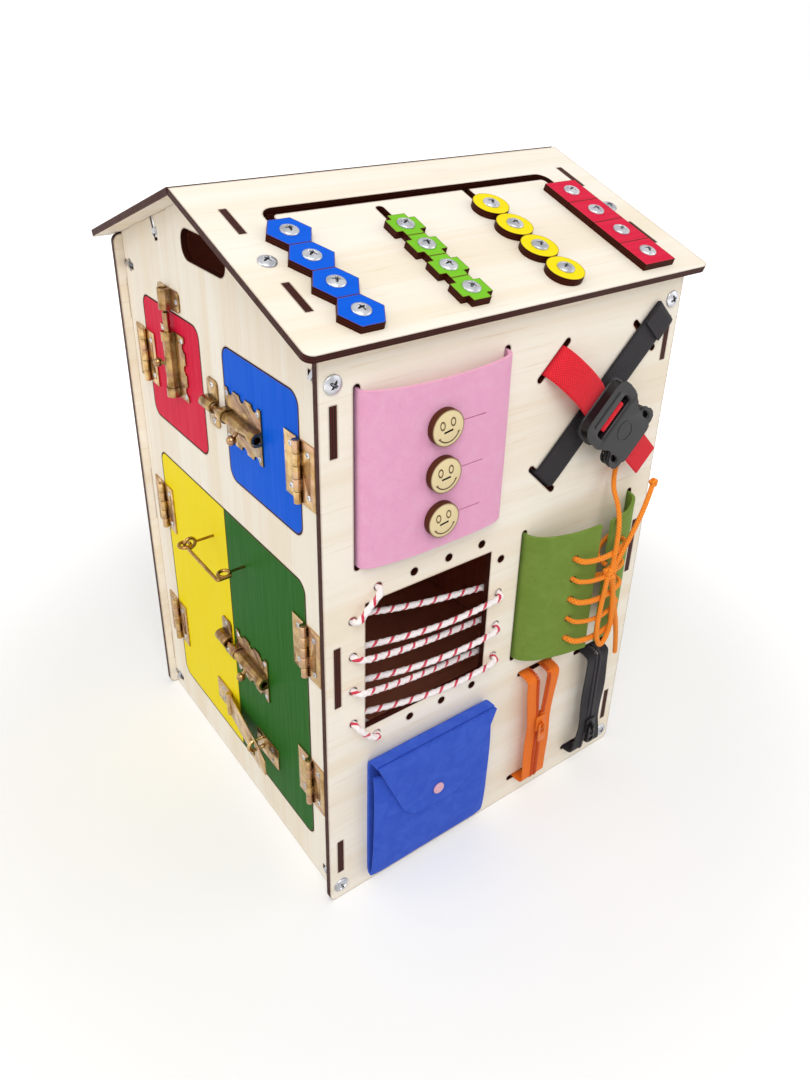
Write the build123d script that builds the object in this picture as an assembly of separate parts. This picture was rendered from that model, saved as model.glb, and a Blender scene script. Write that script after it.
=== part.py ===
from build123d import *
import math
import os

os.makedirs("parts", exist_ok=True)

# Plywood house, in millimetres: X along the long walls, front towards -Y, standing on Z = 0
ply = 4
wall_width = 250
house_depth = 250
gable_inset = 6
ridge_height = 416
roof_pitch = 20
gable_overhang = 10
eave_overhang = 7.978
panel_corner = 5
kerf = 0.2
overrun = 1
free_play = 0.3

# Tabs that join the panels, placed as shares of the panel that carries them
tab_length = 27
long_tab_length = 41
roof_tab_length = 22.8
wall_tab_shares = (0.100, 0.484, 0.885)
roof_tab_shares = (0.2535, 0.715)

# Panel screws with captive square nuts
screw_size = 4
screw_head = 10
head_rim = 0.8
head_rise = 2.4
nut_width = 7
nut_thickness = 3.2
nut_depth = 7
screw_end = 2
t_slot_depth = 14
low_screw_height = 11.2
top_screw_drop = 18
roof_screw_share = 0.51
floor_top = 28

# Front wall: window with lacing holes
window_size = 88
window_x_share = -0.22
window_z_share = 0.4799
lacing_hole = 5
lacing_offset = 52
lacing_pitch = 24
back_hole_x_share = 0.296
back_hole_share = 0.7526
lace_size = 3.6
lace_proud = 3.6
lace_behind = 9

# Front wall: slots for felt, webbing and zips
slot_width = 4
felt = 2
flap_left_share = -0.416
flap_right_share = -0.044
flap_bottom_share = 0.668
flap_top_share = 0.938
flap_rise = 8
button_size = 20
button_stem = 2.4
button_x_share = -0.236
button_z_share = 0.7921
button_pitch = 26.3
slit_length = 30
slit_width = 1.2
tab_sheet_width = 55
tab_sheet_inset = 9
webbing_width = 20
webbing = 1.5
strap_slot = 30
strap_square = 73
strap_x_share = 0.242
strap_z_share = 0.8003

# Front wall: lacing felt in two halves
felt_left_share = 0.058
felt_right_share = 0.424
felt_bottom_share = 0.3531
felt_top_share = 0.6094
felt_edge_gap = 9
felt_meet_share = 0.258
felt_rise = 18.5
eyelet_size = 5
eyelet_pitch = 15
eyelet_count = 5
eyelet_z_share = 0.4744
eyelet_left_share = 0.172
eyelet_right_share = 0.336
shoe_lace_size = 3.6

# Front wall: felt envelope with a folding flap and a press stud
pouch_x_share = -0.21
pouch_width = 90
pouch_bottom_share = 0.0218
pouch_top_share = 0.2918
pouch_depth = 9.5
pouch_flap_drop = 54
pouch_flap_tip_share = 0.5
pouch_flap_corner = 14
stud_size = 8
stud_rise = 1.2
stud_drop = 40

# Zips
orange_zip_share = 0.146
orange_top_share = 0.3054
orange_bottom_share = 0.048
orange_slider_share = 0.1936
black_zip_share = 0.358
black_top_share = 0.2863
black_bottom_share = 0.0447
black_slider_share = 0.1091
zip_slot = 31
zip_stand = 9
zip_half = 10.5
zip_tape = 1.2
zip_gap = 1.6
zip_spread = 3.5
teeth_width = 1.6
teeth_thickness = 2.4
slider_width = 9
slider_length = 12
slider_plate = 1.2
slider_post = 1
pull_width = 6.8
pull_length = 15
pull_thickness = 1.2
bail_radius = 2.2
bail_wire = 1.4

# Gable openings and doors
upper_door_inner = 14.5
door_margin = 24
upper_top_drop = 81
upper_bottom_drop = 164
lower_top_drop = 192
opening_corner = 8
door_gap = 0.8
meeting_gap = 0.6
handle_width = 54
handle_height = 18
handle_drop = 35

# Butt hinges
hinge_height = 36
leaf_width = 14.5
leaf_thickness = 1
knuckle_radius = 2.2
knuckle_lift = 0.15
knuckle_count = 5
knuckle_gap = 0.3
hinge_pin_radius = 1.2
pin_play = 0.05
leaf_hole = 3
upper_hinge_share = 0.5
lower_hinge_shares = (0.26, 0.775)

# Barrel bolts and keepers
bolt_length = 42
bolt_width = 33
bolt_plate = 1
scallop_radius = 3.2
rod_radius = 2.1
rod_lift = 3.5
rod_play = 0.1
barrel_wall = 1.1
collar_wall = 1.9
collar_length = 6
knob_stem = 1.3
knob_radius = 2.9
knob_reach = 8.5
knob_turn = 50
keeper_length = 13
keeper_width = 30
keeper_play = 0.5
red_bolt_share = 0.5361
red_bolt_drop = 12
red_nose = 12.3
red_throw = 13
blue_bolt_rise = 1
blue_bolt_lead_y = 16
blue_nose = 8.2
blue_throw = 14
green_bolt_share = 0.4643
green_bolt_lead_y = 5
green_nose = 7
green_throw = 12
red_keeper_rise = 8.2
green_keeper_y = 9.5

# Hook and eyes
eye_radius = 3.6
eye_wire = 1.1
eye_shank_share = 0.8
latch_share = 0.8469
yellow_eye_y = 19.5
green_eye_y = 23.3
hook_stand = 20
hook_tip = 9
hook_overreach = 4.2
green_eye_drop = 1.6

# Hasp and staple
hasp_share = 0.1531
hasp_height = 19
hasp_pin_y = 12.5
hasp_leaf_width = 21
strap_reach = 68
strap_end_height = 12
strap_lift_angle = 7
staple_y = 33
staple_radius = 4.2
staple_wire = 1.25
staple_leg = 6
staple_plate_width = 29
staple_plate_height = 17
slot_play = 2.6

# Bow of the shoe lace
knot_x_share = 0.264
knot_z_share = 0.5181
knot_out = 26.5
knot_size = 9

# Roof labyrinth and sliding tiles
branch_share = 0.2584
branch_width = 5
run_width = 6.5
run_drop_share = 0.2234
run_corner = 8
green_slot_share = 0.2794
last_screw_share = 0.8723
tile_lift = 0.3
tile_gap = 0.3
tile_count = 4
blue_pitch = 22.3
green_pitch = 19.4
yellow_pitch = 21.8
red_pitch = 22.1
red_tile_width = 24.4
cross_notch = 4

# Sides of the drawn sections of cords and wire rings
cord_sides = 8

# Worked out from the sizes above
pitch = math.radians(roof_pitch)
rise = math.sin(pitch)
run = math.cos(pitch)
front_face = house_depth / 2
gable_face = wall_width / 2 - gable_inset
slot_line = gable_face - ply / 2
inner_half = front_face - ply
apex = ridge_height - ply * run
wall_height = apex - front_face * math.tan(pitch)
roof_length = wall_width + 2 * gable_overhang
roof_slope = front_face / run + eave_overhang
branch_spacing = branch_share * wall_width
run_drop = run_drop_share * roof_slope
green_slot_drop = green_slot_share * roof_slope
last_screw_drop = last_screw_share * roof_slope
wall_tab_lengths = (tab_length, long_tab_length, tab_length)
shank_hole = screw_size + kerf
door_outer = inner_half - door_margin
upper_opening_bottom = ridge_height - upper_bottom_drop
upper_opening_top = ridge_height - upper_top_drop
lower_opening_top = ridge_height - lower_top_drop
pin_y = door_outer + knuckle_gap
pin_lift = knuckle_radius + knuckle_lift
lower_opening_height = lower_opening_top - floor_top
upper_opening_height = upper_opening_top - upper_opening_bottom
upper_door_y = (door_outer + upper_door_inner) / 2
upper_door_z = (upper_opening_top + upper_opening_bottom) / 2
lower_door_z = (lower_opening_top + floor_top) / 2
handle_z = ridge_height - handle_drop
red_bolt_y = red_bolt_share * door_outer
red_bolt_lead_z = upper_opening_top - red_bolt_drop
red_keeper_z = upper_opening_top + red_keeper_rise
blue_bolt_z = upper_door_z + blue_bolt_rise
green_bolt_z = floor_top + green_bolt_share * lower_opening_height
latch_z = floor_top + latch_share * lower_opening_height
hasp_z = floor_top + hasp_share * lower_opening_height

# Places on the front wall
window_x = window_x_share * wall_width
window_z = window_z_share * wall_height
flap_left_x = flap_left_share * wall_width
flap_right_x = flap_right_share * wall_width
flap_bottom = flap_bottom_share * wall_height
flap_height = flap_top_share * wall_height - flap_bottom
button_x = button_x_share * wall_width
button_z = button_z_share * wall_height
strap_x = strap_x_share * wall_width
strap_z = strap_z_share * wall_height
felt_left_x = felt_left_share * wall_width
felt_right_x = felt_right_share * wall_width
felt_meet_x = felt_meet_share * wall_width
felt_bottom = felt_bottom_share * wall_height
felt_height = felt_top_share * wall_height - felt_bottom
eyelet_z = eyelet_z_share * wall_height
eyelet_left_x = eyelet_left_share * wall_width
eyelet_right_x = eyelet_right_share * wall_width
knot_x = knot_x_share * wall_width
knot_z = knot_z_share * wall_height
pouch_x = pouch_x_share * wall_width
pouch_bottom = pouch_bottom_share * wall_height
pouch_top = pouch_top_share * wall_height
orange_zip_x = orange_zip_share * wall_width
orange_zip_top = orange_top_share * wall_height
orange_zip_bottom = orange_bottom_share * wall_height
orange_slider_z = orange_slider_share * wall_height
black_zip_x = black_zip_share * wall_width
black_zip_top = black_top_share * wall_height
black_zip_bottom = black_bottom_share * wall_height
black_slider_z = black_slider_share * wall_height

# The house stands off the middle of the whole, which its hook and its lace widen
house_x = (gable_face + hook_stand + eye_radius + eye_wire - roof_length / 2) / 2
house_y = (front_face + knot_out + knot_size / 2 - roof_slope * run - ply * rise) / 2

# Outer faces of the panels: local X to the right as seen from outside, local Y up, Z outwards
front = Plane(origin=(0, -front_face, 0), x_dir=(1, 0, 0), z_dir=(0, -1, 0))
back = Plane(origin=(0, front_face, 0), x_dir=(-1, 0, 0), z_dir=(0, 1, 0))
left = Plane(origin=(-gable_face, 0, 0), x_dir=(0, -1, 0), z_dir=(-1, 0, 0))
right = Plane(origin=(gable_face, 0, 0), x_dir=(0, 1, 0), z_dir=(1, 0, 0))
roof = Plane(origin=(0, -ply * rise, ridge_height), x_dir=(1, 0, 0), z_dir=(0, -rise, run))


def board(plane, outline, thickness=ply):
    return extrude(plane * outline, amount=-thickness)


def raised(plane, outline, height, lift=0):
    return extrude(plane.offset(lift) * outline, amount=height)


def upright_slot(x, z, length):
    return Pos(x, z) * Rot(0, 0, 90) * SlotOverall(length, slot_width)


def tube(points, radii, size):
    path = FilletPolyline(*points, radius=radii)
    return sweep(Plane(origin=path @ 0, z_dir=path % 0) * Circle(size / 2), path=path)


def cord(points, radii, size):
    path = FilletPolyline(*points, radius=radii)
    return sweep(Plane(origin=path @ 0, z_dir=path % 0) * RegularPolygon(size / 2, cord_sides), path=path)


# Screws and nuts
def screw(grip):
    shank = screw_size / 2
    head = screw_head / 2
    sides = Polyline((0, head_rise), (0, -grip), (shank, -grip), (shank, 0), (head, 0), (head, head_rim))
    crown = head_rise - head_rim
    dome = RadiusArc((head, head_rim), (0, head_rise), -(head ** 2 + crown ** 2) / (2 * crown))
    return revolve(Plane.XZ * make_face(sides.edges() + dome.edges()), axis=Axis.Z)


def nut():
    return extrude(Rectangle(nut_width, nut_width) - Circle(screw_size / 2 + pin_play), amount=-nut_thickness)


def wall_screw_places():
    return [(side * slot_line, z) for side in (-1, 1)
            for z in (low_screw_height, wall_height - top_screw_drop)]


def roof_screw_places():
    return [(side * slot_line, -roof_screw_share * roof_slope) for side in (-1, 1)]


def panel_screws():
    reach = ply + nut_depth + kerf / 2
    pieces = []
    for plane in (front, back):
        for x, z in wall_screw_places():
            pieces.append(plane.location * Pos(x, z) * screw(reach + nut_thickness + screw_end))
            pieces.append(plane.location * Pos(x, z, -reach) * nut())
    for x, y in roof_screw_places():
        for part in (screw(reach + nut_thickness + screw_end), Pos(0, 0, -reach) * nut()):
            piece = roof.location * Pos(x, y) * part
            pieces += [piece, mirror(piece, about=Plane.XZ)]
    return pieces


# Walls, gables, floor and roof
def long_wall_outline():
    outline = Pos(0, wall_height / 2) * RectangleRounded(wall_width, wall_height, panel_corner)
    for side in (-1, 1):
        for share, length in zip(wall_tab_shares, wall_tab_lengths):
            outline -= Pos(side * slot_line, share * wall_height) * Rectangle(ply + kerf, length + kerf)
    for x, z in wall_screw_places():
        outline -= Pos(x, z) * Circle(shank_hole / 2)
    return outline


def back_wall():
    outline = long_wall_outline()
    for step in (-1, 0, 1):
        place = Pos(back_hole_x_share * wall_width, back_hole_share * wall_height + step * lacing_pitch)
        outline -= place * Circle(lacing_hole / 2)
    return board(back, outline)


def strap_corner(column, row):
    return Pos(strap_x + column * strap_square / 2, strap_z + row * strap_square / 2)


def front_wall():
    outline = long_wall_outline() - Pos(window_x, window_z) * Rectangle(window_size, window_size)
    for turn in range(4):
        for step in range(4):
            along = (step - 1.5) * lacing_pitch
            place = Pos(window_x, window_z) * Rot(0, 0, 90 * turn) * Pos(along, lacing_offset)
            outline -= place * Circle(lacing_hole / 2)
    for x in (flap_left_x, flap_right_x):
        outline -= upright_slot(x, flap_bottom + flap_height / 2, flap_height + slot_width)
    for x in (felt_left_x, felt_right_x):
        outline -= upright_slot(x, felt_bottom + felt_height / 2, felt_height + slot_width)
    for column, row in ((-1, -1), (-1, 1), (1, -1), (1, 1)):
        outline -= strap_corner(column, row) * Rot(0, 0, -45 * column * row) * SlotOverall(strap_slot, slot_width)
    for x, heights in ((orange_zip_x, (orange_zip_top, orange_zip_bottom)),
                       (black_zip_x, (black_zip_top, black_zip_bottom))):
        for z in heights:
            outline -= Pos(x, z) * SlotOverall(zip_slot, slot_width)
    return board(front, outline)


def roof_side(side, down, lift):
    place = Pos(side * (down * run + lift * rise), apex - down * rise + lift * run)
    return place * Rot(0, 0, -side * roof_pitch)


def t_slot():
    stem_length = t_slot_depth + overrun
    stem = Pos(0, overrun - stem_length / 2) * Rectangle(shank_hole, stem_length)
    bar = Pos(0, -nut_depth - (nut_thickness + kerf) / 2) * Rectangle(nut_width + kerf, nut_thickness + kerf)
    return stem + bar


def gable_outline():
    eave = apex - inner_half * math.tan(pitch)
    outline = make_face(Polyline((-inner_half, 0), (inner_half, 0), (inner_half, eave), (0, apex),
                                 (-inner_half, eave), close=True))
    for side in (-1, 1):
        for share, length in zip(wall_tab_shares, wall_tab_lengths):
            tab = Pos(side * (inner_half + (ply - overrun) / 2), share * wall_height)
            outline += tab * Rectangle(ply + overrun, length)
        for share in roof_tab_shares:
            tab = roof_side(side, share * roof_slope, (ply - overrun) / 2)
            outline += tab * Rectangle(roof_tab_length, ply + overrun)
        for z in (low_screw_height, wall_height - top_screw_drop):
            outline -= Pos(side * inner_half, z) * Rot(0, 0, -90 * side) * t_slot()
        outline -= roof_side(side, roof_screw_share * roof_slope, 0) * t_slot()
    return outline - Pos(0, handle_z) * RectangleRounded(handle_width, handle_height, opening_corner)


def left_gable():
    outline = gable_outline()
    for side in (-1, 1):
        opening = RectangleRounded(door_outer - upper_door_inner, upper_opening_height, opening_corner)
        outline -= Pos(side * upper_door_y, upper_door_z) * opening
    lower = RectangleRounded(2 * door_outer, lower_opening_height, opening_corner)
    return board(left, outline - Pos(0, lower_door_z) * lower)


def floor_board():
    return Pos(0, 0, floor_top - ply / 2) * Box(2 * (gable_face - ply), 2 * inner_half, ply)


def roof_outline():
    sheet = Pos(0, -roof_slope / 2) * Rectangle(roof_length, roof_slope)
    sheet = fillet(sheet.vertices().group_by(Axis.Y)[0], panel_corner)
    for side in (-1, 1):
        for share in roof_tab_shares:
            tab = Rectangle(ply + kerf, roof_tab_length + kerf)
            sheet -= Pos(side * slot_line, -share * roof_slope) * tab
    for x, y in roof_screw_places():
        sheet -= Pos(x, y) * Circle(shank_hole / 2)
    return sheet


def labyrinth():
    half = 1.5 * branch_spacing
    end = last_screw_drop
    depth = end - run_drop
    outer_width = 2 * half + branch_width
    inner_width = 2 * half - branch_width
    outer = Pos(0, -run_drop + run_width / 2 - depth) * RectangleRounded(outer_width, 2 * depth, run_corner)
    inner = Pos(0, -run_drop - run_width / 2 - depth)
    inner *= RectangleRounded(inner_width, 2 * depth, run_corner - branch_width)
    keep = Pos(0, -end / 2) * Rectangle(outer_width, end)
    slots = (outer - inner) & keep
    for side in (-1, 1):
        slots += Pos(side * half, -end) * Circle(branch_width / 2)
    yellow = Pos(branch_spacing / 2, -(run_drop + end) / 2) * Rot(0, 0, 90)
    slots += yellow * SlotCenterToCenter(depth, branch_width)
    green_top = green_slot_drop + branch_width / 2
    green = Pos(-branch_spacing / 2, -(green_top + end) / 2) * Rot(0, 0, 90)
    return slots + green * SlotCenterToCenter(end - green_top, branch_width)


def roof_back():
    return mirror(board(roof, roof_outline()), about=Plane.XZ)


# Sliding tiles
def hexagon_tile():
    return RegularPolygon((blue_pitch - tile_gap) / math.sqrt(3), 6)


def cross_tile():
    width = green_pitch - tile_gap
    arm = width - 2 * cross_notch
    return Rectangle(width, arm) + Rectangle(arm, width)


def round_tile():
    return Circle((yellow_pitch - tile_gap) / 2)


def square_tile():
    return Rectangle(red_tile_width, red_pitch - tile_gap)


def chain_places(column, spacing):
    return [((column - 1.5) * branch_spacing, -last_screw_drop + step * spacing) for step in range(tile_count)]


def tiles(column, spacing, outline):
    hole = Circle(shank_hole / 2)
    return [raised(roof, Pos(x, y) * (outline - hole), ply, tile_lift) for x, y in chain_places(column, spacing)]


def tile_screws(column, spacing):
    top = tile_lift + ply
    under = top + ply + tile_lift
    pieces = []
    for x, y in chain_places(column, spacing):
        pieces.append(roof.location * Pos(x, y, top) * screw(under + nut_thickness + screw_end / 2))
        pieces.append(roof.location * Pos(x, y, top - under) * nut())
    return pieces


# Doors of the left gable, with -y to the right as seen from outside
def upper_door(side):
    width = door_outer - upper_door_inner - 2 * door_gap
    height = upper_opening_height - 2 * door_gap
    return board(left, Pos(side * upper_door_y, upper_door_z) * RectangleRounded(width, height, opening_corner - door_gap))


def lower_door(side):
    width = 2 * (door_outer - door_gap)
    height = lower_opening_height - 2 * door_gap
    whole = RectangleRounded(width, height, opening_corner - door_gap)
    half = Pos(side * (width + meeting_gap) / 4, 0) * Rectangle((width - meeting_gap) / 2, height)
    return board(left, Pos(0, lower_door_z) * (whole & half))


# Hinges: X across the pin, Y along it, Z out of the panel
def hinge_leaf(direction, knuckles):
    segment = hinge_height / knuckle_count
    root = knuckle_radius + knuckle_gap
    width = leaf_width - root
    plate = Pos(direction * (root + width / 2), 0) * Rectangle(width, hinge_height)
    for end in (-1, 1):
        plate -= Pos(direction * (root + width / 2), end * hinge_height / 3) * Circle(leaf_hole / 2)
    barrels = []
    for index in knuckles:
        middle = (index - (knuckle_count - 1) / 2) * segment
        tongue = Pos(direction * (root + overrun) / 2, middle)
        plate += tongue * Rectangle(root + overrun, segment - knuckle_gap)
        place = Pos(0, middle, pin_lift) * Rot(90, 0, 0)
        barrels.append(place * Cylinder(knuckle_radius, segment - knuckle_gap))
    leaf = extrude(plate, amount=leaf_thickness) + barrels
    return leaf - Pos(0, 0, pin_lift) * Rot(90, 0, 0) * Cylinder(hinge_pin_radius + pin_play, hinge_height + overrun)


def hinge_pin():
    return Pos(0, 0, pin_lift) * Rot(90, 0, 0) * Cylinder(hinge_pin_radius, hinge_height)


def hinge_place(side, z):
    return left.location * Pos(side * pin_y, z)


def lower_hinge_heights():
    return [floor_top + share * lower_opening_height for share in lower_hinge_shares]


def upper_hinge_height():
    return upper_opening_bottom + upper_hinge_share * upper_opening_height


def door_leaf(side, z):
    return hinge_place(side, z) * hinge_leaf(-side, (1, 3))


def wall_leaf(side, z):
    return [hinge_place(side, z) * hinge_leaf(side, (0, 2, 4)), hinge_place(side, z) * hinge_pin()]


def wall_hinge_leaves():
    pieces = []
    for side in (-1, 1):
        for z in [upper_hinge_height()] + lower_hinge_heights():
            pieces += wall_leaf(side, z)
    return pieces


# Barrel bolts: X towards the keeper from the leading end of the plate, Z out of the door
def barrel_profile(outer, bore):
    above = Pos(0, rod_lift + outer / 2) * Rectangle(2 * outer, 2 * rod_lift + outer)
    foot = Pos(0, rod_lift / 2) * Rectangle(2 * outer, rod_lift)
    return ((Pos(0, rod_lift) * Circle(outer)) & above) + foot - Pos(0, rod_lift) * Circle(bore)


def along_rod(profile, start, length):
    return extrude(Plane.YZ.offset(start) * profile, amount=length)


def scalloped_plate(length, width):
    outline = Rectangle(length, width)
    for edge in (-1, 1):
        for share in (-1 / 3, 0, 1 / 3):
            outline -= Pos(share * length, edge * width / 2) * Circle(scallop_radius)
    return outline


def bolt_case(throw, knob_at):
    bore = rod_radius + rod_play
    case = Pos(-bolt_length / 2, 0) * extrude(scalloped_plate(bolt_length, bolt_width), amount=bolt_plate)
    case += along_rod(barrel_profile(bore + barrel_wall, bore), -bolt_length, bolt_length)
    for start in (-bolt_length, -collar_length):
        case += along_rod(barrel_profile(bore + collar_wall, bore), start, collar_length)
    slot_length = throw + 2 * (knob_stem + free_play)
    middle = knob_at + throw / 2
    slot = Pos(middle, 0, rod_lift) * Rot(-knob_turn, 0, 0) * Pos(0, 0, bolt_width / 4)
    return case - slot * Box(slot_length, 2 * (knob_stem + free_play), bolt_width / 2)


def bolt_rod(nose, knob_at):
    length = nose + bolt_length - collar_length
    rod = Pos(nose - length / 2, 0, rod_lift) * Rot(0, 90, 0) * Cylinder(rod_radius, length)
    tip = rod.faces().sort_by(Axis.X)[-1].edges()
    rod = chamfer(tip, rod_radius / 3)
    knob = Pos(knob_at, 0, rod_lift) * Rot(-knob_turn, 0, 0)
    rod += knob * Pos(0, 0, knob_reach / 2) * Cylinder(knob_stem, knob_reach)
    return rod + knob * Pos(0, 0, knob_reach) * Sphere(knob_radius)


def keeper():
    bore = rod_radius + keeper_play
    plate = extrude(RectangleRounded(keeper_length, keeper_width, scallop_radius), amount=bolt_plate)
    loop = along_rod(barrel_profile(bore + barrel_wall, bore), -keeper_length / 2, keeper_length)
    hole = along_rod(Pos(0, rod_lift) * Circle(bore), -keeper_length / 2, keeper_length)
    return plate + loop - hole


def knob_start(throw):
    return -collar_length - knob_stem - 2 * free_play - throw


red_bolt = left.location * Pos(-red_bolt_y, red_bolt_lead_z) * Rot(0, 0, 90)
blue_bolt = left.location * Pos(blue_bolt_lead_y, blue_bolt_z) * Rot(0, 0, 180)
green_bolt = left.location * Pos(green_bolt_lead_y, green_bolt_z) * Rot(0, 0, 180)


def wall_keepers():
    return [left.location * Pos(-red_bolt_y, red_keeper_z) * Rot(0, 0, 90) * keeper(),
            left.location * Pos(0, blue_bolt_z) * keeper()]


# Hook and eyes on the lower doors
def ring(turn):
    section = Plane.XZ * Pos(eye_radius, 0) * RegularPolygon(eye_wire, cord_sides)
    return turn * revolve(section, axis=Axis.Z)


def screw_eye(y, centre, turn):
    shank_length = centre - eye_radius
    shank = Pos(0, 0, shank_length / 2) * Cylinder(eye_shank_share * eye_wire, shank_length)
    return left.location * Pos(y, latch_z) * (shank + Pos(0, 0, centre) * ring(turn))


def yellow_screw_eye():
    return screw_eye(-yellow_eye_y, hook_stand - eye_radius, Rot(0, 90, 0))


def green_screw_eye():
    return screw_eye(green_eye_y, hook_stand - green_eye_drop - eye_radius - eye_wire, Rot(90, 0, 0))


def latch_hook():
    start = eye_radius
    reach = yellow_eye_y + green_eye_y + hook_overreach
    bend = 2 * eye_wire
    arm = tube([(start, 0, 0), (reach, 0, 0), (reach, -hook_tip, 0)], [bend], 2 * eye_wire)
    return left.location * Pos(-yellow_eye_y, latch_z, hook_stand) * (ring(Rot(90, 0, 0)) + arm)


# Hasp: X towards the staple from the pin, Y along the pin, Z out
def hasp_barrel(share, length_share):
    length = hasp_height * length_share - knuckle_gap
    return Pos(0, hasp_height * share, 0) * Rot(90, 0, 0) * Cylinder(knuckle_radius, length)


def hasp_bore():
    return Rot(90, 0, 0) * Cylinder(hinge_pin_radius + pin_play, hasp_height + overrun)


hasp_place = left.location * Pos(-hasp_pin_y, hasp_z, pin_lift)


def hasp_leaf():
    root = knuckle_radius + knuckle_gap
    width = hasp_leaf_width - root
    plate = Pos(-root - width / 2, 0) * Rectangle(width, hasp_height)
    for end in (-1, 1):
        plate -= Pos(-root - width / 2, end * hasp_height / 4) * Circle(leaf_hole / 2)
        middle = end * hasp_height / 3
        plate += Pos(-(root + overrun) / 2, middle) * Rectangle(root + overrun, hasp_height / 3 - knuckle_gap)
    leaf = Pos(0, 0, -pin_lift) * extrude(plate, amount=leaf_thickness)
    leaf += [hasp_barrel(-1 / 3, 1 / 3), hasp_barrel(1 / 3, 1 / 3)]
    pin = Rot(90, 0, 0) * Cylinder(hinge_pin_radius, hasp_height)
    return [hasp_place * (leaf - hasp_bore()), hasp_place * pin]


def hasp_strap():
    root = knuckle_radius + knuckle_gap
    taper = strap_reach - strap_end_height
    outline = make_face(Polyline((root, -hasp_height / 2), (taper, -hasp_height / 2),
                                 (strap_reach, -strap_end_height / 2), (strap_reach, strap_end_height / 2),
                                 (taper, hasp_height / 2), (root, hasp_height / 2), close=True))
    outline += Pos(root / 2, 0) * Rectangle(root + overrun, hasp_height / 3 - knuckle_gap)
    slot_width_x = 2 * (staple_wire + slot_play)
    slot_width_z = 2 * (staple_radius + staple_wire) + slot_play
    outline -= Pos(staple_y + hasp_pin_y, 0) * RectangleRounded(slot_width_x, slot_width_z, staple_wire)
    strap = Pos(0, 0, -leaf_thickness / 2) * extrude(outline, amount=leaf_thickness) + hasp_barrel(0, 1 / 3)
    return hasp_place * Rot(0, -strap_lift_angle, 0) * (strap - hasp_bore())


def hasp_staple():
    plate = extrude(RectangleRounded(staple_plate_width, staple_plate_height, overrun), amount=leaf_thickness)
    plate = Pos(staple_plate_width / 4, 0) * plate
    height = leaf_thickness + staple_leg
    legs = [Line((0, side * staple_radius, 0), (0, side * staple_radius, height)) for side in (-1, 1)]
    crown = ThreePointArc((0, -staple_radius, height), (0, 0, height + staple_radius), (0, staple_radius, height))
    loop = sweep(Circle(staple_wire).moved(Location((0, -staple_radius, 0))), path=Wire([legs[0], crown, legs[1]]))
    return left.location * Pos(staple_y, hasp_z) * (plate + loop)


# Felt and webbing, as sheets of one thickness along a bent path
def front_points(points):
    return [(x, -front_face - out) for x, out in points]


def standing_sheet(points, radii, thickness, bottom, height):
    path = FilletPolyline(*front_points(points), radius=radii)
    return extrude(Pos(0, 0, bottom) * trace(path, line_width=thickness), amount=height)


def button_flap():
    depth = ply + slot_width
    points = [(flap_left_x, -depth), (flap_left_x, flap_rise / 3), (button_x, flap_rise),
              (flap_right_x, flap_rise), (flap_right_x, -depth)]
    radii = [felt, button_size * 4, 2 * felt]
    flap = standing_sheet(points, radii, felt, flap_bottom, flap_height)
    for z in button_heights():
        slit = Pos(slit_length / 2, 0) * Rectangle(slit_length, slit_width) + Circle(button_stem)
        flap -= raised(front, Pos(button_x, z) * slit, flap_rise, flap_rise / 2)
    return flap


def button_heights():
    return [button_z + step * button_pitch for step in (-1, 0, 1)]


def button_tab():
    middle = flap_left_x + tab_sheet_inset + tab_sheet_width / 2
    sheet = RectangleRounded(tab_sheet_width, flap_height - 2 * tab_sheet_inset, felt)
    return raised(front, Pos(middle, flap_bottom + flap_height / 2) * sheet, felt)


def face_buttons():
    lift = flap_rise + felt / 2 + free_play
    pieces = []
    for z in button_heights():
        stem = raised(front, Pos(button_x, z) * Circle(button_stem / 2), lift - felt + overrun, felt)
        pieces.append(stem + raised(front, Pos(button_x, z) * Circle(button_size / 2), ply, lift))
    return pieces


pouch_mouth_drop = 10
fold_gap = 0.3


def across_sheet(points, radii, thickness, centre, width):
    path = FilletPolyline(*[(-front_face - out, z) for out, z in points], radius=radii)
    profile = Plane.YZ.offset(centre - width / 2) * trace(path, line_width=thickness)
    return extrude(profile, amount=width)


def pouch_pocket():
    inner = felt / 2
    points = [(pouch_depth * 0.85, pouch_top - pouch_mouth_drop), (pouch_depth, pouch_top / 2),
              (pouch_depth * 0.7, pouch_bottom + felt), (inner, pouch_bottom + felt),
              (inner, pouch_top), (pouch_depth + inner, pouch_top)]
    radii = [pouch_width, felt, felt, felt]
    return across_sheet(points, radii, felt, pouch_x, pouch_width)


def pouch_fold_out():
    return pouch_depth + felt + fold_gap


def pouch_flap():
    half = pouch_width / 2
    tip = half * pouch_flap_tip_share
    outline = make_face(Polyline((-half, 0), (-tip, -pouch_flap_drop), (tip, -pouch_flap_drop), (half, 0),
                                 close=True))
    outline = fillet(outline.vertices().group_by(Axis.Y)[0], pouch_flap_corner)
    return raised(front, Pos(pouch_x, pouch_top + felt / 2) * outline, felt, pouch_fold_out() - felt / 2)


def snap_cap():
    lift = pouch_fold_out() + felt / 2
    cap = raised(front, Pos(pouch_x, pouch_top - stud_drop) * Circle(stud_size / 2), stud_rise, lift)
    return chamfer(cap.faces().sort_by(Axis.Y)[0].edges(), stud_rise / 2)


# Webbing: local X along the strap, Z out of the wall
def strap(place, points, radii):
    path = FilletPolyline(*points, radius=radii)
    sheet = extrude(Plane.XZ * trace(path, line_width=webbing), amount=webbing_width / 2, both=True)
    return place * sheet


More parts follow.
